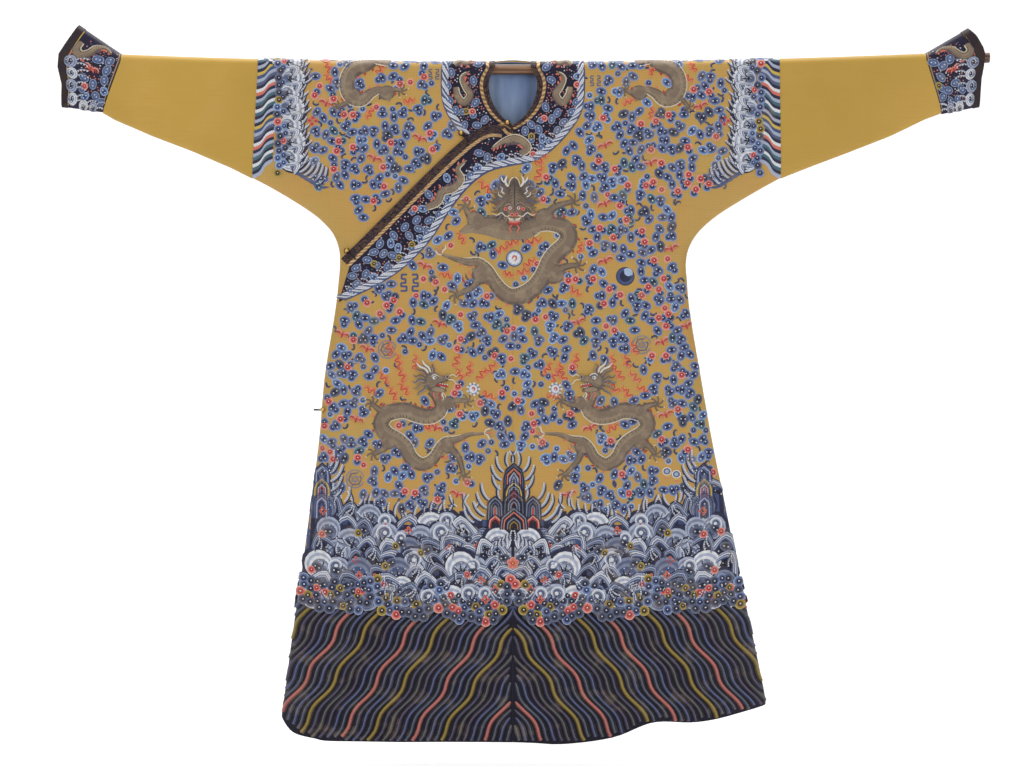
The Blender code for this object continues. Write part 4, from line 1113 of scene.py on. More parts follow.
def dragonHeadSide(scales, work, x, z, mirror, lift):
    # seen from the side, looking towards +x in its own frame
    def on(points):
        return placed(points, x, z, 1.0, 0.0, mirror)

    strokes(work, on, 1.0, lift, [(path, 5.6, (dye, "goldLight"), 1.4, 0, 9, 0, 0.5) for path, dye in (
        (((-14, 4), (-26, 12), (-34, 8), (-42, 14)), "goldDark"), (((-14, 0), (-28, 2), (-36, -4), (-44, 0)), "steel"),
        (((-12, 8), (-20, 20), (-30, 22), (-36, 30)), "plum"), (((-12, -6), (-26, -8), (-34, -16), (-42, -14)), "gold"),
        (((-10, -10), (-20, -20), (-28, -24), (-32, -32)), "steel"),
        (((-8, 12), (-10, 24), (-18, 30), (-20, 38)), "goldDark"), (((-2, 14), (2, 24), (-2, 32), (2, 38)), "plum"))])
    scales.patch(on(((-20, -10), (-20, 8), (-12, 17), (0, 19), (10, 13), (22, 11), (32, 12), (37, 6), (34, 0),
        (20, -3), (12, -6), (2, -16), (-10, -18))), "gold", 0.0034, lift, "goldDark")
    scales.patch(on(((-6, -14), (6, -10), (16, -12), (27, -16), (30, -21), (22, -25), (6, -24), (-8, -20))),
        "goldLight", 0.0028, lift, "goldDark")
    beads(work, on(((16, -5.4), (24, -6.5), (31, -8.0))), 0.0015, "white", lift + 0.0024, 4)
    beads(work, on(((18, -12), (25, -14))), 0.0014, "white", lift + 0.0024, 3)
    dots(work, on, 1.0, lift, (((4, 7), ((4.3, 0, "white"),), 1.4, 8, 3.0), ((5, 7), ((2.0, 0, "ink"),), 1.4, 8, 3.6),
        ((31, 9), ((5.4, 0, "goldLight"), (2.0, 1.0, "deep")), 1.2, 8, 2.2)))
    horn, whisker = ("white", "goldPale"), "goldPale"
    strokes(work, on, 1.0, lift, [(((8, -8), (18, -8), (30, -11), (33, -14)), 6.0, "red", 2.8, 0, 6, 0.1, 0.4),
        (((-4, 9), (2, 15), (10, 13), (15, 9)), 5.0, ("goldPale", "steel"), 2.4, 2.2, 6, 0.3, 0.4),
        (((-8, 16), (-16, 26), (-26, 30), (-36, 40)), 4.2, horn, 2.0, 1.0, 8, 0.1, 0.4),
        (((-4, 17), (-8, 28), (-18, 36), (-22, 46)), 4.2, horn, 2.0, 1.0, 8, 0.1, 0.4),
        (((33, 8), (42, 14), (50, 10), (56, 16)), 2.2, whisker, 1.4, 0.8, 9, 0, 0.5),
        (((33, 3), (44, 2), (50, -6), (58, -6)), 2.2, whisker, 1.4, 0.8, 9, 0, 0.5)])
    strokes(work, on, 1.0, lift, [(((4 + k * 6, -23), (2 + k * 6, -30), (6 + k * 6, -36), (2 + k * 6, -41)), 3.2, dye,
        1.2, 0, 6, 0, 0.6) for k, dye in enumerate(("salmon", "goldLight", "red", "goldPale"))])


def dragonHeadFront(scales, work, x, z, size, lift):
    # seen from the front, both halves alike
    mane, face = [], ((0, 51), (5, 48), (9, 41), (9.5, 33), (16, 27), (23, 18), (26, 6), (25, -6), (20, -16),
        (16, -26), (12, -37), (6, -43))
    for k in range(17):
        angle, long = 1.05 - k * 0.155, 24 + 6 * sin(k * 2.1)
        a, b = 20 * cos(angle * 0.8), 8 + 22 * sin(angle)
        dx, dz = cos(angle * 0.85) * long, sin(angle) * long * 0.8
        dye = ("goldDark", "steel", "plum", "gold", "goldLight", "green")[k % 6]
        mane.append((((a, b), (a + dx * 0.35, b + dz * 0.35 + 3), (a + dx * 0.7, b + dz * 0.7 - 2.5),
            (a + dx, b + dz + 2)), 5.0, (dye, "goldDark"), 1.3, 0, 8, 0, 0.5))
    horns = [(path, width, ("white", "goldPale"), 1.8, 1.4, 8, 0.1, 0.4) for path, width in (
        (((9, 33), (15, 38), (17, 46), (13, 55)), 4.2), (((16, 41), (22, 45), (25, 53)), 3.2),
        (((18, 20), (24, 25), (22, 30), (27, 34)), 2.6), (((22, 14), (29, 18), (30, 24)), 2.2))]
    brow = [(((2, h + 8), (9, h + 5), (17 + k * 0.8, h - 4)), 1.6, "goldDark", 0.8, 4.0, 6, 0.1, 0.3)
        for k, h in enumerate(26 - 5.2 * np.arange(6))]
    crown = [(((2 + k * 2, 47 - k * 2), (2.5 + k * 2, 38), (2 + k * 3, 30)), 1.4, "goldDark", 0.8, 3.4, 5, 0.1, 0.3)
        for k in range(4)]
    scales.patch(placed(face + tuple((-a, b) for a, b in face[:0:-1]), x, z, size), "gold", 0.0040, lift, "goldDark")
    for mirror in (False, True):
        def on(points):
            return placed(points, x, z, size, 0.0, mirror)

        strokes(work, on, size, lift, mane + horns + brow + crown + [
            (((0, 52), (5.5, 49), (9.5, 41), (9.5, 33)), 2.2, "goldPale", 1.2, 1.4, 10, 0.1, 0.1),
            (((3, -2), (9, 2.5), (15, 1), (20, -4)), 4.6, ("plum", "goldLight"), 1.6, 3.8, 7, 0.3, 0.5),
            (((7, -20), (16, -22), (24, -15), (33, -20), (42, -16)), 2.0, "goldPale", 1.4, 3.0, 12, 0, 0.4),
            (((1, -27), (7, -27.5), (13, -24)), 3.0, "goldPale", 1.2, 4.4, 5, 0.1, 0.3),
            (((5, -38), (9, -44), (6, -50), (10, -56)), 3.0, "salmon", 1.2, 2.0, 6, 0, 0.5)])
        for at, rings, centre, sides, high in (
                ((8.0, -6.5), ((4.2, 0, "red"), (3.1, 0.6, "white"), (1.6, 1.0, "ink")), 1.2, 9, 4.0),
                ((16.5, -8), ((4.0, 0, "salmon"), (1.8, 0.8, "red")), 1.0, 7, 3.6),
                ((4.2, -19), ((4.2, 0, "salmon"), (1.6, 1.0, "deep")), 1.0, 8, 4.0)):
            dots(work, on, size, lift, ((at, rings, centre, sides, high),))
        beads(work, on(((1.5, -30.2), (5, -30.4), (9, -29.2))), 0.0012 * size, "white", lift + 0.0046, 4)
    strokes(work, lambda points: placed(points, x, z, size), size, lift, (
        (((0, 46), (0, 20), (0, 2), (0, -12)), 3.0, ("goldDark", "deep"), 1.0, 4.2, 8, 0.3, 0.4),
        (((-12, -31), (-6, -34), (0, -35), (6, -34), (12, -31)), 7.8, ("red", "salmon"), 1.4, 3.8, 9, 0.25, 0.25)))


def pearl(work, x, z, size, petals, lift=0.0008):
    work.disc(x, z, ((size, 0.0, "azure"), (size * 0.86, 0.0008, "pale"), (size * 0.70, 0.0012, "white"),
        (size * 0.44, 0.0015, "white")), 0.0018, 18, lift=lift)
    for angle in np.arange(petals) * 2 * pi / max(petals, 1):
        a, b = turned(size, 0.0, angle)
        work.disc(x + a, z + b, ((size * 0.24, 0.0, "white"),), 0.0012, 6, 1.5, angle, lift)
    flare = placed(((-3.2, -1.5), (-1.6, 3.4), (2.6, 3.0), (3.2, -1.2), (0.6, -4.2), (-1.2, -3.4)), x, z, size * 72)
    work.stroke(flare, 0.0034, ("salmon", "red"), 0.0012, lift + 0.0018, 10, (0.2, 0.5))


def peak(work, x, base, top, half, dyes, lift):
    # nested pointed arches, outer line first
    step = 0.0026
    for k, dye in enumerate(dyes.split()):
        h = half - k * step
        if h < step * 0.3:
            break
        crown = top - k * step * 1.5
        shoulder = crown - max(h, 0.002) * 0.75
        line = [(-h, base), (-h * 0.98, (base + shoulder) / 2), (-h * 0.9, shoulder), (0.0, crown)]
        line += [(-a, b) for a, b in line[2::-1]]
        work.stroke([(x + a, b) for a, b in line], step * 1.25, dye, 0.0010, lift + 0.00012 * k, 14, (0, 0),
            curved=False)


def fret(work, x, z, size, dye):
    # a small figure of squared hooks, two alike back to back
    for mirror in (False, True):
        path = placed(((2.5, 8), (8, 8), (8, 3.5), (4, 3.5), (4, -0.5), (8.5, -0.5), (8.5, -4), (3, -4), (3, -8.5),
            (9, -8.5)), x, z, size, 0.0, mirror)
        work.stroke(path, 0.0020 * size, dye, 0.0010, 0.0, 40, (0, 0), curved=False)


def medallion(work, x, z, size):
    for k, (r, dye) in enumerate(((1.0, "grey"), (0.66, "steel"), (0.34, "grey"))):
        path = [(x + size * r * cos(a), z + size * r * sin(a)) for a in np.linspace(0.2 + k, 5.9 + k, 16)]
        work.stroke(path, size * 0.13, dye, 0.0009, 0.0, 18, (0, 0))
        for a in np.linspace(0, 2 * pi, 7)[:-1] + k * 0.4:
            dx, dz = turned(size * r * 0.84, 0.0, a)
            ex, ez = turned(size * (r - 0.22), 0.0, a + 0.25)
            work.stroke([(x + dx, z + dz), (x + ex, z + ez)], size * 0.10, (floss["slate"][0],) * 2, 0.0008, 0.0, 2,
                (0, 0), curved=False)


# where the main figures stand, in millimetres on the flat front; mirrored ones follow from these
figures = mm({"chestHead": (3, -290.5), "chestWidth": 38, "lowWidth": 34, "lowHead": (-170, -664),
    "lowPearl": (-84, -681), "chestSpine": ((-150, -395.7), (-120.5, -405.5), (-96.1, -412), (-74, -412),
        (-55.5, -427), (-40.5, -452), (-21.5, -476), (0, -485.5), (26.2, -479), (50.7, -461), (67.5, -435.5),
        (80, -408), (94.5, -390.5), (110.5, -376.5), (119, -359), (111.8, -340.5), (90, -331), (65.3, -330),
        (43.3, -337)),
    "chestShoulder": ((-112, -350), (-86, -338), (-52, -334), (-18, -340), (22, -341), (50, -332)),
    "lowSpine": ((-62, -775), (-92, -777), (-120, -788), (-140, -790), (-155, -804), (-166, -826), (-190, -841),
        (-215, -828), (-228, -804), (-246, -788), (-268, -776), (-280, -757), (-272, -737), (-252, -728),
        (-226, -726), (-199, -736), (-171, -738), (-152, -722), (-158, -698), (-172, -682))})


def chestDragon(scales, work):
    shoulder = dragonBody(scales, work, figures["chestShoulder"], 0.05, -1, 0.0, steps=24, start=0.94)
    line = dragonBody(scales, work, figures["chestSpine"], figures["chestWidth"], 1, 0.0004)
    dragonTail(work, -0.15, -0.3957, 2.0)
    # legs: root, foot, spread, haunch and lift
    for root, foot, spread, haunch, lift in (((-76, -326), (-101, -296), 2.0, 21, 0.0006),
            ((66, -318), (127, -283), 0.5, 20, 0.0008), ((-64, -436), (-120, -482), 3.7, 22, 0.0006),
            ((88, -437), (137, -418), 0.3, 21, 0.0006)):
        claw(scales, work, mm(root), mm(foot), spread, 1.0, lift, haunch / 1000)
    dragonHeadFront(scales, work, *figures["chestHead"], 1.13, 0.0034)
    pearl(work, 0.003, -0.404, 0.0178, 0)
    for x, z, turn, length in ((-42, -392, 0.35, 34), (-16, -377, 0.3, 30), (26, -374, 0.3, 36), (-22, -436, -0.2, 24),
            (8, -438, 0.3, 30), (24, -424, 0.7, 30), (-44, -262, 2.5, 36), (52, -240, 1.3, 34), (50, -208, 0.9, 34),
            (-66, -319, 3.2, 26), (44, -316, 0.4, 30), (-100, -372, 2.2, 28), (142, -395, 1.4, 26),
            (-128, -440, 3.0, 28), (118, -468, -0.5, 30)):
        flame(work, x / 1000, z / 1000, length / 1000, turn, False, 0.0002)
    return np.vstack([line, shoulder])


def lowDragon(scales, work, mirror):
    sign, nudge = (-1, 0.006) if mirror else (1, 0.0)

    def at(x, z):
        return sign * x + nudge, z

    def angle(turn):
        return pi - turn if mirror else turn

    line = dragonBody(scales, work, [at(*p) for p in figures["lowSpine"]], figures["lowWidth"], -sign, 0.0002)
    dragonTail(work, *at(-0.06, -0.775), angle(0.1))
    for root, foot, spread in (((-262, -730), (-298, -712), 2.6), ((-262, -792), (-294, -818), 3.5),
            ((-140, -800), (-104, -862), 5.0), ((-140, -712), (-98, -706), 0.2)):
        claw(scales, work, at(*mm(root)), at(*mm(foot)), angle(spread), 0.9, 0.0006)
    dragonHeadSide(scales, work, *at(*figures["lowHead"]), mirror, 0.003)
    pearl(work, *at(*figures["lowPearl"]), 0.0115, 9)
    for x, z, turn in ((-104, -666, 2.0), (-74, -664, 1.0), (-66, -690, -0.4), (-92, -655, 1.5), (-218, -690, 2.4),
            (-244, -702, 2.2), (-226, -664, 2.1), (-262, -668, 2.3), (-238, -638, 1.8), (-205, -640, 1.6),
            (-285, -690, 2.7), (-190, -768, 0.4), (-56, -650, 0.9), (-122, -636, 1.3), (-255, -610, 1.9)):
        flame(work, *at(x / 1000, z / 1000), 0.032, angle(turn), mirror)
    return line


def shoulderDragon(scales, work, mirror):
    sign = -1 if mirror else 1
    spine = [(sign * a, b) for a, b in mm(((-262, -70), (-276, -46), (-300, -52), (-322, -68), (-345, -58),
        (-352, -30), (-340, -4), (-312, 10), (-290, 26), (-262, 34)))]
    line = dragonBody(scales, work, spine, 0.034, sign, 0.0002, "red", 34)
    for root, foot, spreads in (((-0.34, -0.058), (-0.372, -0.082), (3.6, -0.5)),
            ((-0.268, -0.052), (-0.238, -0.046), (0.2, pi - 0.2))):
        claw(scales, work, (sign * root[0], root[1]), (sign * foot[0], foot[1]), spreads[mirror], 0.8, 0.0004)
    for x, z, turn in ((-0.38, -0.03, 2.4), (-0.3, -0.084, 4.3), (-0.232, -0.074, 0.3), (-0.386, -0.008, 2.0),
            (-0.288, -0.012, 0.9)):
        flame(work, sign * x, z, 0.026, pi - turn if mirror else turn, mirror)
    return line


def inside(poly, x, z):
    # which points lie within a closed outline
    hit = np.zeros(np.shape(x), bool)
    for (ax, az), (bx, bz) in zip(poly, np.roll(poly, -1, axis=0)):
        hit ^= ((az > z) != (bz > z)) & (x < (bx - ax) * (z - az) / (bz - az + 1e-12) + ax)
    return hit


def bothSides(half):
    # a line across the cloth from its right half, which starts at the middle
    return mm(tuple((-x, z) for x, z in half[:0:-1]) + half)


waveTopLine = mm(((-560, -860), (-440, -865))) + bothSides(((0, -810), (60, -820), (95, -900), (140, -930),
    (220, -945), (300, -925), (360, -905), (400, -865))) + mm(((560, -860),))
scallopLine = bothSides(((0, -1138), (40, -1165), (90, -1175), (150, -1150), (220, -1165), (300, -1140),
    (360, -1150), (440, -1135), (560, -1125)))
gussetLine = {-1: mm(((-600, -150), (-470, -235), (-427, -262), (-372, -245), (-348, -275), (-336, -343),
    (-330, -400), (-345, -480), (-395, -530))), 1: mm(((600, -150), (470, -235), (427, -262), (378, -248),
    (352, -275), (346, -343), (356, -420), (385, -500)))}
frontFacingShape = np.vstack([curveThrough(facingBorder, 4), [(-0.46, -0.45), (-0.375, -0.4)],
    [(-0.104, -0.132), (-0.15, -0.075), (-0.152, 0.05), (0.149, 0.05)]])
backFacingShape = np.vstack([backLine, [(-0.149, 0.06), (0.149, 0.06)]])


def clear(taken, x, z, reach):
    # taken holds x, z and radius of what is there already
    return all((x - a) ** 2 + (z - b) ** 2 >= (radius + reach) ** 2 for a, b, radius in taken)


def withinSides(sign, x, z, margin):
    return x <= float(sideEdge(np.array(sign * x), np.array(z))) - margin


class Layout:
    # keeps shapes clear of each other and of what is sewn on
    def __init__(self, face):
        self.shape = frontFacingShape if face < 0 else backFacingShape
        self.busy = []

    def claim(self, points, radius):
        self.busy += [(x, z, radius) for x, z in points]

    def free(self, x, z, reach):
        side = 1 if x > 0 else -1
        line = np.abs(np.array(gussetLine[side]))
        return not (inside(self.shape, x, z) or gapTo(self.shape, x, z) < reach + 0.002
            or edgeGap(np.array(x), np.array(z)) < reach + 0.001
            or z - reach * 0.6 < np.interp(x, *np.transpose(waveTopLine))
            or abs(x) > robe["sleeveSeamTop"][side] - 0.112 - reach
            or (-0.5 < z < -0.235 and abs(x) + reach > np.interp(-z, line[:, 1], line[:, 0]))
            or not clear(self.busy, x, z, reach))


def blob(work, layout, chance, x, z, turn, lift=0.0, reach=0.0086):
    if not layout.free(x, z, reach):
        return False
    kind = chance.choices(("blue", "sky", "teal", "slate"), (76, 11, 6, 7))[0]
    dx, dz = turned(0.0092, 0.0, turn + pi / 2)
    if chance.random() < 0.55 and layout.free(x + dx, z + dz, 0.007):
        lobe(work, x + dx, z + dz, kind, 0.0094, lift)
        layout.claim([(x + dx, z + dz)], 0.0064)
    lobePair(work, x, z, turn, kind, kind if chance.random() < 0.86 else "pink", 0.0104, lift + 0.0003)
    layout.claim([(x, z)], 0.0092)
    return True


def cloudField(work, layout, seed):
    # clusters on a loose diagonal lattice, the same on both halves but for small changes
    chance = random.Random(seed)
    for row in range(29):
        for column in range(14):
            baseX = (column + 0.5 * (row % 2)) * 0.0415 + 0.014 + chance.uniform(-0.004, 0.004)
            baseZ = 0.016 - row * 0.0365 + chance.uniform(-0.004, 0.004)
            turn, swing, count = chance.uniform(0, pi), chance.uniform(0, 2 * pi), chance.choice((2,
                3, 3))
            for sign in (1, -1):
                spots = []
                for k in range(count):
                    dx, dz = turned(0.0108, 0.0, swing + k * 2.1)
                    x, z = sign * (baseX + dx), baseZ + dz
                    if blob(work, layout, chance, x, z, sign * (turn + k * 1.1), 0.0002 * k):
                        spots.append((x, z))
                if spots:
                    dx, dz = turned(0.015, 0.0, swing + 3.3)
                    x, z = spots[0][0] + sign * dx, spots[0][1] + dz
                    if layout.free(x, z, 0.0042):
                        hook(work, x, z, swing + 3.3 if sign > 0 else -swing - 0.16, sign < 0)
                        layout.claim([(x, z)], 0.005)
    # what is left gets single pairs, lobes and hooks
    for _ in range(2200):
        blob(work, layout, chance, chance.uniform(-0.46, 0.46), chance.uniform(-0.94, 0.02), chance.uniform(0,
            3.1), 0.0, 0.0094)
    for _ in range(1600):
        x, z = chance.uniform(-0.46, 0.46), chance.uniform(-0.94, 0.02)
        if layout.free(x, z, 0.0066):
            lobe(work, x, z, chance.choices(("sky", "pink", "blue"), (3, 3, 6))[0], 0.0082)
            layout.claim([(x, z)], 0.0078)
        elif layout.free(x, z, 0.004):
            hook(work, x, z, chance.uniform(0, 6.2), chance.random() < 0.5)
            layout.claim([(x, z)], 0.006)


# the stripes of the hem in the order they follow, with their colours
hemOrder = "salmonDull tealGrey slateBlue plumGrey oliveGrey plumSlate ochre ashGrey slateBlue ashGrey".split()
hemTints = {"salmonDull": rgb(178, 104, 98), "tealGrey": rgb(84, 92, 112), "slateBlue": rgb(86, 92, 132),
    "plumGrey": rgb(88, 78, 104), "oliveGrey": rgb(92, 90, 96), "plumSlate": rgb(80, 75, 102),
    "ochre": rgb(142, 120, 54), "ashGrey": rgb(88, 90, 108)}


def hemStripes(work):
    # slanting bands of satin that run down and outwards from the middle
    pitch = 0.0153
    for sign in (1, -1):
        for k in range(-17, 37):
            z = np.linspace(-1.105, -1.44, 42)
            drop = -1.105 - z
            x = k * pitch + 0.0078 + 0.66 * drop
            x += 0.0062 * np.sin(2 * pi * drop / 0.086 + 0.0875 * k + 0.9) * smooth(drop / 0.03)
            limit = edgeX(sign, z) - 0.0015
            keep = (x > 0.0006) & (x < limit + 0.004) & (z > hemZ(sign * x) + 0.002)
            if keep.sum() < 4:
                continue
            x, z = np.minimum(x[keep], limit[keep]), z[keep]
            tint = hemOrder[k % len(hemOrder)]
            base = hemTints[tint]
            # each stripe's tint is split into a painted highlight down its ridge and painted shade on one side; the
            # near-black edges are partly the dark gap between stripes and partly painted shade
            dark, shade, light = [tuple(v * share for v in base[:3]) + (1.0,) for share in (0.1, 0.55, 1.05)]
            side = base if tint in ("salmonDull", "ochre") else dark
            dyes = (dark, shade, light, side, dark) if sign > 0 else (dark, side, light, shade, dark)
            work.stroke(list(zip(sign * x, z)), 0.0112, dyes, 0.0034, 0.0, min(30, int(keep.sum())), (0.03, 0.0),
                tip=0.5, curved=False)


def waveField(work, seed):
    # a slate ground, then rows of folds, crests, curls and foam, each row over the one above it
    chance = random.Random(seed)
    tops = np.transpose(waveTopLine)
    for sign in (1, -1):
        for k in range(56):
            x, far = sign * (0.0004 + k * 0.0098), sign * (0.0004 + (k + 1) * 0.0098)
            top = min(np.interp(x, *tops), np.interp(far, *tops)) - 0.024
            top = min(top, -0.957) if abs(x) < 0.098 else top
            work.stroke([(x, top), (x + (far - x) * 0.5, (top - 1.15) / 2), (x, -1.15)], 0.0104,
                "deep" if k % 2 else "azure", 0.0004, 0.0, 20, (0, 0), curved=False)
    rows = 7
    for row in range(rows):
        lift = 0.0006 + row * 0.0009
        x = 0.02 + (row % 2) * 0.018
        while x < 0.53:
            size = chance.uniform(0.026, 0.038)
            kind, turn, extra = chance.random(), chance.uniform(-0.6, 0.6), chance.random()
            tone = chance.choices(("light", "middle", "dark"), (3, 4, 4))[0]
            shift = chance.uniform(-0.007, 0.007)
            for sign in (1, -1):
                top = np.interp(sign * x, *tops) - 0.026 if abs(x) > 0.098 else -0.985
                z = top + (-1.116 - top) * row / (rows - 1) + shift
                if x + size * 0.5 > sideEdge(np.array(sign * x), np.array(z)):
                    continue
                if kind < 0.26:
                    waveDome(work, sign * x, z, size, pi / 2 + turn * sign, lift, tone, 16)
                elif kind < 0.9:
                    waveFold(work, sign * x, z, size * 1000, turn, (sign < 0) != (kind > 0.6), lift, tone)
                else:
                    waveDome(work, sign * x, z - 0.003, size, pi / 2 + turn * sign, lift, "middle", 14)
                    curl(work, sign * x, z + 0.001, size * 560, turn, sign < 0, lift + 0.0012)
                low = lift + 0.0016
                if extra < 0.34:
                    for k in range(2):
                        foamFinger(work, sign * (x + 0.006 - k * 0.009), z - 0.008 - k * 0.006, 0.018,
                            0.4 + 0.35 * k + turn, (sign < 0) != (kind > 0.5), low)
                elif extra < 0.66:
                    lobePair(work, sign * x, z - 0.01, turn, "slate", "slate", 0.0108, low)
                    if extra < 0.5:
                        lobe(work, sign * (x + 0.012), z - 0.016, "pink" if extra < 0.42 else "ochre", 0.0092,
                            low + 0.0004)
                elif extra > 0.9:
                    for k in range(4):
                        a, b = turned(0.0056, 0.0, k * 1.6)
                        work.disc(sign * x + a, z + b - 0.012, ((0.0042, 0.0, "salmon"), (0.002, 0.0008,
                            "red")), 0.0012, 7, lift=low)
            x += size * 1.3
    # foam along the top, reaching up over the yellow
    for sign in (1, -1):
        for k in range(34):
            x = 0.08 + k * 0.013 + chance.uniform(-0.003, 0.003)
            z = min(np.interp(sign * x, *tops) - 0.014, -0.935 if x < 0.11 else 0.0)
            if withinSides(sign, x, z, 0.01):
                foamFinger(work, sign * x, z, chance.uniform(0.02, 0.03), chance.uniform(0.4, 1.3),
                    (sign < 0) != (chance.random() < 0.35), 0.0008)


def scallops(work, seed):
    # the lowest row: ringed discs hanging over the stripes in bunches
    chance = random.Random(seed)
    edge = np.transpose(scallopLine)
    done = []
    for _ in range(3400):
        x = chance.uniform(0.004, 0.535)
        drop = chance.random()
        kind = chance.choices(("slate", "blue", "pink", "ochre", "sky"), (58, 17, 12, 10, 3))[0]
        for sign in (1, -1):
            low = np.interp(sign * x, *edge) + 0.006 * sin(x * 90.0)
            z = low + 0.058 * drop ** 1.2
            if withinSides(sign, x, z, 0.008) and clear(done, sign * x, z, 0.0129):
                done.append((sign * x, z, 0.0))
                lobe(work, sign * x, z, kind, 0.0116, 0.0078 - 0.03 * (z - low), 10)


def mountains(work):
    # x, base, top and half width in millimetres, the extra lift, then the dyes from the outside in
    hill, slope = "deep grey ink steel ink grey red", "ink rose red ink ink ink"
    for x, base, top, half, extra, dyes in ((-37.5, -972, -908, 16.5, 0.0, hill), (42.5, -972, -908, 16.5, 0.0, hill),
            (2, -975, -838, 22.5, 0.0, "ink azure ink salmon ink pale azure pale ink"),
            (2, -975, -872, 22, 0.0008, "ink deep yellow ink grey ink red red"),
            (2, -975, -896, 22.5, 0.0016, "ink steel ink ink grey ink grey ink"),
            (2, -978, -930, 29, 0.0024, "ink grey ink salmon ink ink grey ink ochreDeep ink"),
            (-37.5, -976, -946, 15, 0.001, slope), (42.5, -976, -946, 15, 0.001, slope)):
        peak(work, *mm((x, base, top, half)), dyes, 0.003 + extra)
    for sign in (1, -1):
        for k, (x, z, length, turn) in enumerate(((0.012, -0.846, 0.026, 0.9), (0.022, -0.858, 0.03, 0.5),
                (0.026, -0.876, 0.032, 0.35), (0.028, -0.896, 0.03, 0.45), (0.052, -0.918, 0.034, 0.5),
                (0.056, -0.936, 0.034, 0.35), (0.06, -0.952, 0.034, 0.25), (0.068, -0.962, 0.034, 0.15),
                (0.03, -0.914, 0.024, 0.9), (0.0015, -0.838, 0.022, 1.15), (0.084, -0.966, 0.03, 0.3))):
            foamFinger(work, sign * x, z, length, turn, sign < 0, 0.0012, 0.005)
        work.stroke([(sign * 0.0016, -0.968), (sign * 0.0016, -1.06), (sign * 0.0016, -1.14)], 0.0032,
            "ink", 0.0006, 0.004, 12, (0, 0), curved=False)
        waveDome(work, sign * 0.0325, -0.998, 0.031, pi / 2 - sign * 0.15, 0.0044, "light", 24)
        waveFold(work, sign * 0.034, -1.016, 22, -0.2, sign < 0, 0.0054, "middle")
        waveFold(work, sign * 0.062, -1.01, 20, 0.3, sign > 0, 0.0058, "light")
        for k in range(6):
            foamFinger(work, sign * (0.006 + 0.008 * k), -1.002 - 0.006 * k, 0.018, 1.0, sign < 0, 0.0066)
    for k in range(5):
        a, b = turned(0.0075, 0.0, k * 1.257 + 0.3)
        work.disc(a, -1.049 + b, ((0.0062, -0.0002, "rose"), (0.0042, 0.0008, "salmon")), 0.0013,
            8, lift=0.0066)
    work.disc(0.0, -1.049, ((0.005, 0.0, "red"), (0.0022, 0.0008, "yellow")), 0.0014, 8,
        lift=0.0074)
    # the peaks at the two sides
    for sign in (-1, 1):
        x = sign * 0.404
        for top, half, lift, dyes in ((-0.838, 0.019, 0.001, "deep azure pale azure deep azure grey"),
                (-0.868, 0.019, 0.0016, "azure yellow ochreDeep deep pale red"),
                (-0.896, 0.021, 0.0022, "azure deep steel azure pale azure deep")):
            peak(work, x, -0.955, top, half, dyes, lift)
        for z, length, turn in ((-0.846, 0.03, 0.7), (-0.862, 0.036, 0.5), (-0.88, 0.038, 0.3), (-0.9, 0.036, 0.3),
                (-0.916, 0.032, 0.2)):
            foamFinger(work, x - sign * 0.02, z, length, turn, sign > 0, 0.0014, 0.0046)


def sleeveBand(work, side, seed):
    # waves that stand on the sleeve seam: slanted stripes, ringed discs, domes and foam
    chance = random.Random(seed)
    order = ("deep white tealDark deep pale deep yellow azure pale steel deep white salmon deep pale "
        "tealDark").split()
    z, k = 0.03, 0
    while z > -0.236:
        slope = 0.024 + 0.04 * max(0.0, -z - 0.05)
        start = float(seamX(side, np.array(min(z, 0.0)))) - 0.001
        path = [(side * (start - dx), z + slope * up) for dx, up in ((0, 0), (0.016, 0.25), (0.027, 0.8),
            (0.044, 1.1))]
        work.stroke(path, 0.0084, order[k % len(order)], 0.0018, 0.0001, 9, (0.0, 0.1), tip=0.5)
        z -= 0.0072
        k += 1
    start = robe["sleeveSeamTop"][side]
    z = 0.026
    while z > -0.225:
        kind = chance.choices(("blue", "sky", "ochre", "pink", "slate"), (5, 3, 2, 2, 3))[0]
        lobe(work, side * (start - 0.044 - chance.uniform(-0.004, 0.006)), z, kind, 0.0096, 0.0016)
        if chance.random() < 0.7:
            kind = chance.choices(("blue", "sky", "slate", "pink"), (5, 3, 3, 1))[0]
            lobe(work, side * (start - 0.057 - chance.uniform(-0.003, 0.004)), z + 0.006, kind, 0.0084, 0.0014)
        z -= 0.0155
    for k, (dx, z, radius) in enumerate(((0.074, 0.012, 0.025), (0.08, -0.022, 0.028), (0.072, -0.052, 0.024),
            (0.078, -0.086, 0.03), (0.074, -0.122, 0.026), (0.08, -0.156, 0.03), (0.076, -0.194, 0.028))):
        waveDome(work, side * (start - dx), z, radius, (0.0 if side < 0 else pi) + 0.2 * (k % 3 - 1),
            0.0006, "light", 18)
        waveFold(work, side * (start - dx - 0.006), z - 0.014, 15, -1.2, side > 0, 0.0012, "light")
        for j in range(4):
            foamFinger(work, side * (start - dx - 0.014), z - 0.012 + 0.01 * j, 0.022, -0.15 + 0.3 * j,
                side > 0, 0.0012)
    for j in range(7):
        x, z = start - 0.072 - 0.01 * j, -0.212 - 0.0062 * j
        foamFinger(work, side * x, z, 0.034, 0.1 + 0.06 * j, side > 0, 0.0012, 0.0058)
        work.stroke([(side * (x + 0.014), z + 0.004), (side * (x - 0.004), z - 0.004), (side * (x - 0.022),
            z - 0.0035)], 0.0052, ("azure", "steel"), 0.0012, 0.0008, 6, (0.1, 0.4))
    for j in range(4):
        a = turned(0.007, 0.0, j * 1.5)
        work.disc(side * (start - 0.118) + a[0], -0.112 + a[1], ((0.0052, -0.0002, "salmon"),
            (0.003, 0.0009, "red")), 0.0014, 7, lift=0.001)


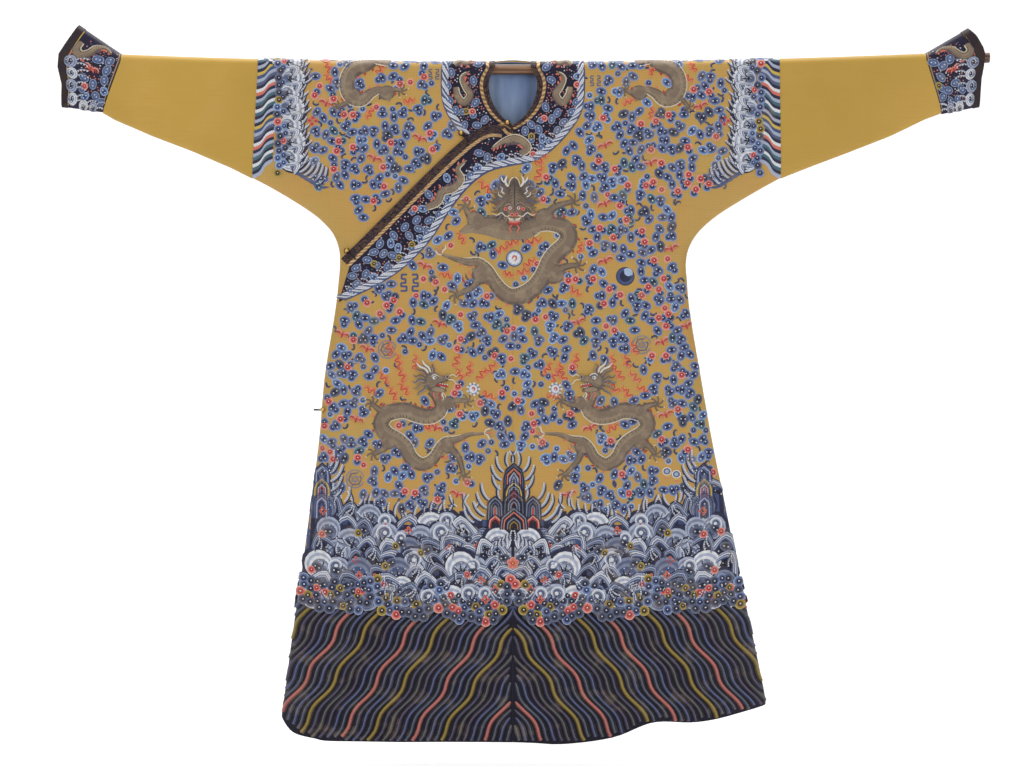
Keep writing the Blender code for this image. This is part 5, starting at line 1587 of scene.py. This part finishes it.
def ropeBorder(work, line, lift, inward):
    # a twisted cord of long pale segments along a line
    run = spaced(line, max(4, int(lineLength(line) / 0.015)))
    step = np.gradient(run, axis=0)
    step /= np.linalg.norm(step, axis=1, keepdims=True)
    across = np.stack([-step[:, 1], step[:, 0]], axis=1) * inward
    work.stroke(run + across * 0.006, 0.019, ("azure", "steel", "azure"), 0.001,
        lift - 0.0012, len(run), (0, 0), curved=False)
    sets = (("steel", "white", "pale", "white", "azure"), ("azure", "grey", "white", "steel", "azure"))
    for k, c in enumerate(run + across * 0.0062):
        path = [c + step[k] * a - across[k] * b for a, b in ((-0.0165, 0.0062), (-0.006, 0.0036),
            (0.006, -0.0036), (0.0165, -0.0062))]
        work.stroke(path, 0.0108, sets[k % 2], 0.0022, lift, 7, (0.4, 0.4), tip=0.12)


def facingClouds(work, poly, seed, clear, tries, lift, free=None):
    # ringed clouds, small pink dots and short foam on the dark facings
    chance = random.Random(seed)
    low, high = poly.min(axis=0), poly.max(axis=0)
    done = []
    for _ in range(tries):
        x, z = chance.uniform(low[0], high[0]), chance.uniform(low[1], high[1])
        if not inside(poly, x, z) or gapTo(np.vstack([poly, poly[:1]]), x, z) < clear:
            continue
        if any((x - a) ** 2 + (z - b) ** 2 < (r + 0.0085) ** 2 for a, b, r in done + (free or [])):
            continue
        kind = chance.choices(("onNavy", "sky", "pink", "ochre"), (74, 12, 7, 7))[0]
        turn = chance.uniform(0, pi)
        lobePair(work, x, z, turn, "onNavy" if kind != "sky" else "sky", kind, 0.0084, lift)
        done.append((x, z, 0.0092))
    for _ in range(tries):
        x, z = chance.uniform(low[0], high[0]), chance.uniform(low[1], high[1])
        if not inside(poly, x, z) or gapTo(np.vstack([poly, poly[:1]]), x, z) < 0.003:
            continue
        if any((x - a) ** 2 + (z - b) ** 2 < (r + 0.0016) ** 2 for a, b, r in done + (free or [])):
            continue
        dye = chance.choices(("salmon", "white", "rose", "steel"), (5, 3, 3, 4))[0]
        work.disc(x, z, ((0.0017, -0.0002, dye),), 0.0011, 6, lift=lift)
        done.append((x, z, 0.0028))


symbols = {"bats": mm(((-396, -76), (-198, -150), (-294, -193), (-187, -421), (-155, -544),
    (-362, -566), (-309, -597), (398, -82), (196, -165), (292, -203), (196, -289),
    (196, -410), (336, -384), (138, -540), (368, -548), (317, -582), (-332, -746),
    (324, -736), (164, -764), (-164, -764), (-118, -905), (118, -905))),
    "medallions": mm(((-266, -597), (273, -587), (-334, -871))), "frets": ((-0.168, -0.012, 1.25,
    "steel"), (0.175, -0.026, 1.25, "steel"), (-0.219, -0.455, 2.1, "azure"),),}


# room kept free round the main figures: radius, then the middles, all in millimetres; mirrored for the low dragons
roomRound = {"chest": ((24, (3, -300), (3, -262), (3, -320), (32, -295), (-26, -295)),
    (19, (3, -405), (-66, -440), (90, -440)), (12, (-101, -298), (127, -285), (-120, -482), (137, -420))),
    "low": ((34, (172, -664)), (13, (205, -655), (140, -660)), (18, (84, -681), (235, -680), (245, -655)),
        (12, (298, -712), (294, -818), (104, -862), (98, -706)))}


def stitchFace(face):
    # all the embroidery of one face
    name = "front" if face < 0 else "back"
    layout = Layout(face)
    scales, motifs, clouds, waves, stripes = [Stitching() for _ in range(5)]
    for line, radius in ((chestDragon(scales, motifs), 0.015), (lowDragon(scales, motifs, False), 0.0125),
            (lowDragon(scales, motifs, True), 0.0125), (shoulderDragon(scales, motifs, False), 0.011),
            (shoulderDragon(scales, motifs, True), 0.011)):
        layout.claim(line[::2], radius)
    for part, signs in (("chest", (1,)), ("low", (1, -1))):
        for radius, *spots in roomRound[part]:
            layout.claim([(sign * x / 1000, z / 1000) for x, z in spots for sign in signs], radius / 1000)
    layout.claim(motifs.spots, 0.01)
    for x, z in symbols["bats"]:
        bat(motifs, x, z, 0.92, 0.35 if x > 0 else -0.35)
        layout.claim([(x, z)], 0.012)
    for x, z in symbols["medallions"]:
        medallion(motifs, x, z, 0.019)
        layout.claim([(x, z)], 0.021)
    for x, z, size, dye in symbols["frets"]:
        if face < 0 or abs(x) > 0.16:
            fret(motifs, x, z, size, dye)
            layout.claim([(x, z)], 0.01 * size)
    # two small jewels and the moon beside the chest dragon
    for x, z in ((0.326, -0.855), (0.346, -0.861)):
        motifs.disc(x, z, ((0.0088, 0.0, "white"), (0.007, 0.0008, "steel"), (0.004, 0.001, "pale")), 0.0014, 12, 1.1)
        motifs.stroke([(x - 0.008, z - 0.01), (x, z - 0.013), (x + 0.008, z - 0.01)], 0.0046, ("salmon", "yellow"),
            0.001, 0.0, 4)
    layout.claim([(0.327, -0.86), (0.346, -0.862)], 0.014)
    motifs.disc(0.238, -0.442, ((0.021, -0.0003, "deep"), (0.018, 0.0006, "azure"), (0.012, 0.001, "deep")),
        0.0012, 16)
    motifs.disc(0.243, -0.435, ((0.011, 0.0008, floss["sky"][0]),), 0.0016, 12)
    layout.claim([(0.238, -0.442)], 0.022)
    cloudField(clouds, layout, 7 if face < 0 else 19)
    waveField(waves, 5 if face < 0 else 6)
    mountains(waves)
    scallops(waves, 11 if face < 0 else 12)
    for side in (1, -1):
        sleeveBand(waves, side, 31 + side)
    hemStripes(stripes)

    def place(x, z, lift):
        limit = sideEdge(x, np.minimum(z, -0.1)) - 0.0012
        limit = np.where(z > robe["sleeveSeamZ"], np.where(x > 0, seamX(1, np.minimum(z, 0)),
            seamX(-1, np.minimum(z, 0))) - 0.0006, limit)
        x = np.sign(x) * np.minimum(np.abs(x), limit)
        z = np.maximum(z, hemZ(x) + 0.001)
        return onCloth(x, z, face, lift)

    for kind, work, material in (("Dragons", scales, goldScales), ("Figures", motifs, flossThread),
            ("Clouds", clouds, flossThread), ("Waves", waves, flossThread), ("Stripes", stripes, stripeThread)):
        work.lay(name + kind, place, face > 0, material, "embroidered_silk")


stitchFace(-1)
stitchFace(1)
print("robe embroidered")


def facingWork():
    lift = trimTop + 0.0001
    scales, motifs = Stitching(), Stitching()
    # a small dragon each side of the neck, one below its point and one on the flap
    claimed = []
    for sign in (1, -1):
        spine = [(sign * a, b) for a, b in ((0.092, -0.006), (0.108, -0.02), (0.1, -0.04), (0.09, -0.056),
            (0.104, -0.074), (0.118, -0.06), (0.122, -0.04))]
        line = dragonBody(scales, motifs, spine, 0.015, sign, lift, "plum", 24, 0.05)
        claimed += [(p[0], p[1], 0.009) for p in line[::3]]
        line = dragonBody(scales, motifs, [(sign * 0.086, 0.022), (sign * 0.098, 0.01), (sign * 0.112, 0.016),
            (sign * 0.124, 0.006)], 0.012, sign, lift, "plum", 12, 0.05)
        claimed += [(p[0], p[1], 0.008) for p in line[::3]]
    for spine in (((-0.046, -0.172), (-0.022, -0.158), (0.002, -0.15), (0.02, -0.156), (0.03, -0.17),
            (0.016, -0.182)), ((-0.098, -0.196), (-0.118, -0.214), (-0.11, -0.236), (-0.128, -0.256),
            (-0.15, -0.262), (-0.16, -0.284), (-0.184, -0.296))):
        line = dragonBody(scales, motifs, spine, 0.017, 1, lift, "plum", 26, 0.05)
        claimed += [(p[0], p[1], 0.01) for p in line[::3]]
    leftShape = np.vstack([np.array(neckLine(1, wide + 0.002)), borderLeft[::-1]])
    rightShape = np.vstack([np.array(neckLine(-1, wide + 0.002))[:-5], np.array(rightFacing)[::-1]])
    flapShape = np.vstack([flapInner, borderFlap[::-1]])
    facingClouds(motifs, leftShape, 3, 0.0078, 1500, lift, claimed)
    facingClouds(motifs, rightShape, 4, 0.0078, 1100, lift, claimed)
    facingClouds(motifs, flapShape, 5, 0.0085, 2600, lift, claimed)
    ropeBorder(motifs, borderLine[borderLine[:, 0] > -0.366], lift - 0.0006, -1)
    ropeBorder(motifs, curveThrough(rightFacing, 6)[:-6], lift - 0.0006, 1)
    for a, b in spaced(borderLine[(borderLine[:, 0] < 0.1) & (borderLine[:, 0] > -0.34)], 46):
        foamFinger(motifs, a - 0.004, b + 0.016, 0.011, 2.2, False, lift, 0.0026)

    def place(x, z, high):
        z = np.maximum(z, np.where(x < -0.3, hemZ(x), -0.9))
        limit = edgeX(-1, np.minimum(z, -0.1)) - 0.001
        x = np.where(x < 0, -np.minimum(-x, limit), x)
        return onCloth(x, z, -1, high, "top")

    scales.lay("facingDragons", place, False, goldScales, "navy_silk")
    motifs.lay("facingFigures", place, False, flossThread, "navy_silk")
    motifs, scales = Stitching(), Stitching()
    shape = np.vstack([np.array(backInner), backLine[::-1]])
    facingClouds(motifs, shape, 8, 0.0085, 2600, lift, [])
    ropeBorder(motifs, backLine, lift - 0.0006, -1)
    motifs.lay("backFacingFigures", lambda x, z, high: onCloth(x, z, 1, high, "flap"), True, flossThread,
        "navy_silk")


facingWork()


def cuffWork(side, face):
    # designed on the cuff's own length and height: s from the seam to the edge, v from the bottom to the top
    scales, motifs = Stitching(), Stitching()
    long, high = 0.105, 0.15
    spine = ((0.018, 0.118), (0.032, 0.132), (0.048, 0.124), (0.056, 0.108), (0.07, 0.1), (0.082, 0.11),
        (0.08, 0.126))
    line = dragonBody(scales, motifs, spine, 0.015, 1, 0.0001, "plum", 26, 0.05)
    claimed = [(p[0], p[1], 0.01) for p in line[::3]] + [(0.046, 0.078, 0.012)]
    bat(motifs, 0.046, 0.078, 0.75, 0.4)
    shape = np.array(((0.002, 0.01), (0.066, 0.012), (0.07, 0.14), (0.004, 0.14)))
    facingClouds(motifs, shape, 40 + side, 0.0065, 900, 0.0001, claimed)
    for k, (u, w, r) in enumerate(((0.076, 0.016, 0.013), (0.08, 0.04, 0.014), (0.077, 0.064, 0.012),
            (0.081, 0.086, 0.013), (0.05, 0.008, 0.012), (0.026, 0.008, 0.011))):
        waveDome(motifs, u, w, r, pi if k < 4 else 1.5, 0.0004, ("light", "middle")[k % 2], 14)
        foamFinger(motifs, u - 0.01, w, 0.016, 2.6, False, 0.0008, 0.003)
        foamFinger(motifs, u - 0.008, w + 0.007, 0.016, 2.3, False, 0.0008, 0.003)
    edge = [(0.088, 0.004), (0.0885, 0.075), (0.088, 0.146)]
    motifs.stroke(edge, 0.003, ("salmon", "yellow"), 0.001, 0.0002, 24, (0, 0))
    seamEdge = [(0.0035, 0.004), (0.0035, 0.075), (0.0035, 0.146)]
    motifs.stroke(seamEdge, 0.0024, "goldLight", 0.0008, 0.0002, 24, (0, 0))

    def place(x, z, lift):
        return onCuff(side, np.clip(x / long, 0.0, 1.0), np.clip(z / high, 0.0, 1.0), face, lift)

    name = "cuff" + ("Left" if side > 0 else "Right") + ("Front" if face < 0 else "Back")
    scales.lay(name + "Dragon", place, (side > 0) == (face > 0), goldScales, "navy_silk")
    motifs.lay(name + "Figures", place, (side > 0) == (face > 0), flossThread, "navy_silk")


for side in (1, -1):
    for face in (-1, 1):
        cuffWork(side, face)
print("facings and cuffs embroidered")


def clothCord(name, path, width, slot, material, lift=0.0022):
    # a round cord sewn along a path on the front
    line = curveThrough(path, 8)
    where = onCloth(line[:, 0], line[:, 1], -1, np.full(len(line), lift), "flap")
    curve = bpy.data.curves.new(name, "CURVE")
    curve.dimensions, curve.bevel_depth, curve.bevel_resolution, curve.use_fill_caps = "3D", width / 2, 3, True
    spline = curve.splines.new("POLY")
    spline.points.add(len(where) - 1)
    spline.points.foreach_set("co", np.hstack([where, np.ones((len(where), 1))]).ravel())
    piece = bpy.data.objects.new(name, curve)
    bpy.context.scene.collection.objects.link(piece)
    pickOnly(piece)
    bpy.ops.object.convert(target="MESH")
    return finishPiece(bpy.context.object, (material,), slot)


for name, x, z, turn in (("neckLoop", -0.012, -0.116, -0.9), ("collarLoop", -0.11, -0.138, -0.8),
        ("underarmLoop", -0.352, -0.387, -0.75), ("sideLoop", -0.4035, -0.725, pi)):
    shape = placed(((26, 1.1), (14, 1.3), (5, 2.4), (0, 5.6), (-5, 0), (0, -5.6), (5, -2.4), (14, -1.3),
        (26, -1.1)), x, z, 0.8 if name == "sideLoop" else 1.0, turn)
    clothCord(name, shape, 0.002, "brocade", darkBrocade, 0.003 if name != "sideLoop" else 0.0014)
print("loops sewn on")


# each piece: materials, slot, CAD nodes, (flat width, flat length, cut area), how it is held, what it lies on and
# what lies on it
clothList = (
    (bodyLeft, (groundSilk, blueLining), "embroidered_silk", ("body_left",), (0.6, 2.93, 1.36), "hung", ["pole"], []),
    (bodyRight, (groundSilk, blueLining), "embroidered_silk", ("body_right",), (0.58, 2.93, 1.3), "hung", ["pole"],
        []),
    (frontFlap, (groundSilk, blueLining), "embroidered_silk", ("front_overlap",), (0.51, 1.33, 0.5), "hung",
        [bodyRight], []),
    (sleeveLeft, (yellowSilk, blueLining), "yellow_silk", ("sleeve_left",), (0.37, 0.52, 0.128), "hung", ["pole"],
        []),
    (sleeveRight, (yellowSilk, blueLining), "yellow_silk", ("sleeve_right",), (0.35, 0.52, 0.12), "hung", ["pole"],
        []),
    (cuffLeft, (navySilk, blueLining), "navy_silk", ("cuff_left",), (0.13, 0.32, 0.0345), "hung", ["pole"], []),
    (cuffRight, (navySilk, blueLining), "navy_silk", ("cuff_right",), (0.13, 0.32, 0.0365), "hung", ["pole"], []),
    (cuffEdge[1], (darkBrocade, darkBrocade), "brocade", ("cuff_binding_left",), (0.021, 0.33, None), "laid",
        [cuffLeft], []),
    (cuffEdge[-1], (darkBrocade, darkBrocade), "brocade", ("cuff_binding_right",), (0.021, 0.33, None), "laid",
        [cuffRight], []),
    (neckBraid, (giltBraid,), "gilt_braid", ("neck_braid_left", "neck_braid_right"), None, "", [], []),
    (backBraid, (giltBraid,), "gilt_braid", (), None, "", [], []),
    (flapBraid, (giltBraid,), "gilt_braid", ("flap_braid",), None, "", [], []),
    (neckBinding, (darkBrocade,), "brocade", ("neck_binding_left", "neck_binding_right", "neck_binding_back"),
        (0.025, 0.36, 0.0065), "laid", [bodyLeft, bodyRight], [neckBraid, backBraid]),
    (flapBinding, (darkBrocade,), "brocade", ("flap_binding",), (0.018, 0.52, None), "laid", [frontFlap],
        [flapBraid]),
    (neckFacing, (navySilk,), "navy_silk", ("neck_facing_left", "neck_facing_right"), (0.3, 0.24, 0.035), "laid",
        [bodyLeft, bodyRight], []),
    (flapFacing, (navySilk,), "navy_silk", ("flap_facing",), (0.1, 0.52, 0.036), "laid", [frontFlap], []),
    (backNeckFacing, (navySilk,), "navy_silk", ("neck_facing_back",), (0.3, 0.15, 0.032), "laid",
        [bodyLeft, bodyRight], []),
    (neckLining, (blueLining,), "blue_lining", ("neck_lining_back",), (0.19, 0.195, 0.0325), "hung", ["pole"], []),
    (seamShadowStrip, (darkBrocade,), "embroidered_silk", (), (0.01, 2.75, 0.0217), "laid", [bodyLeft], []))
for piece, materials, slot, nodes, cut, held, under, trims in clothList:
    finishPiece(piece, materials, slot, nodes)
    if cut:
        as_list(under)
        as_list(trims)

for node, material in (("pole", poleWood), ("neck_button", giltBall), ("collar_button", giltBall),
        ("underarm_button", giltBall), ("side_button", giltBall)):
    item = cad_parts[node]
    if item.material_slots:
        item.material_slots[0].material = material
    else:
        item.data.materials.append(material)

view = {"middle": (-0.002, -0.668), "distance": 5.15, "lens": 85.0}
bpy.ops.object.camera_add(location=(view["middle"][0], -view["distance"], view["middle"][1]),
    rotation=(pi / 2, 0.0, 0.0))
camera = bpy.context.object
camera.data.lens = view["lens"]
camera.data.sensor_width = 36.0
camera.data.clip_end = 60.0
bpy.context.scene.camera = camera

studio = {"floorZ": -1.5, "wallY": 2.4, "tone": rgb(250, 250, 250)}


def studioFloor():
    look = Look("paleFloor", Roughness=0.9, Specular_IOR_Level=0.1)
    grain = look.noise(3.0, 2.0)
    look.fill(look.shader, {"Base Color": look.mix(grain * 0.05, studio["tone"], rgb(244, 244, 243))})
    # clear when looked at from behind, so the robe's back can be seen through the wall
    clear = look.node("ShaderNodeBsdfTransparent", {}, {})
    behind = look.node("ShaderNodeNewGeometry", {}, {}, "Backfacing")
    both = look.node("ShaderNodeMixShader", {}, {0: behind, 1: Wire(look, look.shader.outputs[0]), 2: clear})
    look.fill(look.tree.nodes["Material Output"], {"Surface": both})
    bpy.ops.object.select_all(action="DESELECT")
    bpy.ops.mesh.primitive_plane_add(size=1.0, location=(0.0, 0.0, 0.0))
    floor = bpy.context.object
    floor.name = "studioFloor"
    floor.scale = (14.0, 1.0, 1.0)
    bpy.ops.object.transform_apply(scale=True)
    bpy.ops.object.mode_set(mode="EDIT")
    mesh = bmesh.from_edit_mesh(floor.data)
    for vert in mesh.verts:
        vert.co.y = studio["wallY"] if vert.co.y > 0 else -7.0
        vert.co.z = studio["floorZ"]
    mesh.edges.ensure_lookup_table()
    for edge in mesh.edges:
        edge.select = all(v.co.y > 0 for v in edge.verts)
    bpy.context.tool_settings.mesh_select_mode = (False, True, False)
    bmesh.update_edit_mesh(floor.data)
    bpy.ops.mesh.extrude_region_move(TRANSFORM_OT_translate={"value": (0.0, 0.0, 6.0)})
    bpy.ops.object.mode_set(mode="OBJECT")
    settle(floor, ("BEVEL", {"width": 1.2, "segments": 12, "affect": "EDGES"}))
    if max(floor.data.polygons, key=lambda face: face.center.z).normal.y > 0:
        floor.data.flip_normals()
    bpy.ops.object.shade_smooth()
    floor.data.materials.append(look.material)


studioFloor()


def softLight(name, where, aim, size, power):
    bpy.ops.object.select_all(action="DESELECT")
    bpy.ops.object.light_add(type="AREA", location=where)
    light = bpy.context.object
    light.name = name
    light.data.size = size
    light.data.energy = power
    run = np.array(aim) - np.array(where)
    light.rotation_euler = (acos(-run[2] / np.linalg.norm(run)), 0.0, atan2(run[0],
        -run[1]) + pi)
    return light


softLight("keyLight", (-2.6, -3.4, 1.6), (0.0, 0.0, -0.6), 2.2, 60.0)
softLight("fillLight", (2.8, -3.6, 0.2), (0.0, 0.0, -0.7), 2.6, 44.0)
softLight("wallLight", (0.0, 0.6, 3.4), (0.0, 2.6, -0.9), 3.0, 190.0)
world = bpy.data.worlds.new("studio")
world.use_nodes = True
world.node_tree.nodes["Background"].inputs["Color"].default_value = (1.0, 1.0, 1.0, 1.0)
world.node_tree.nodes["Background"].inputs["Strength"].default_value = 0.35
bpy.context.scene.world = world
bpy.context.scene.view_settings.view_transform = "Standard"
print("camera and lights set")
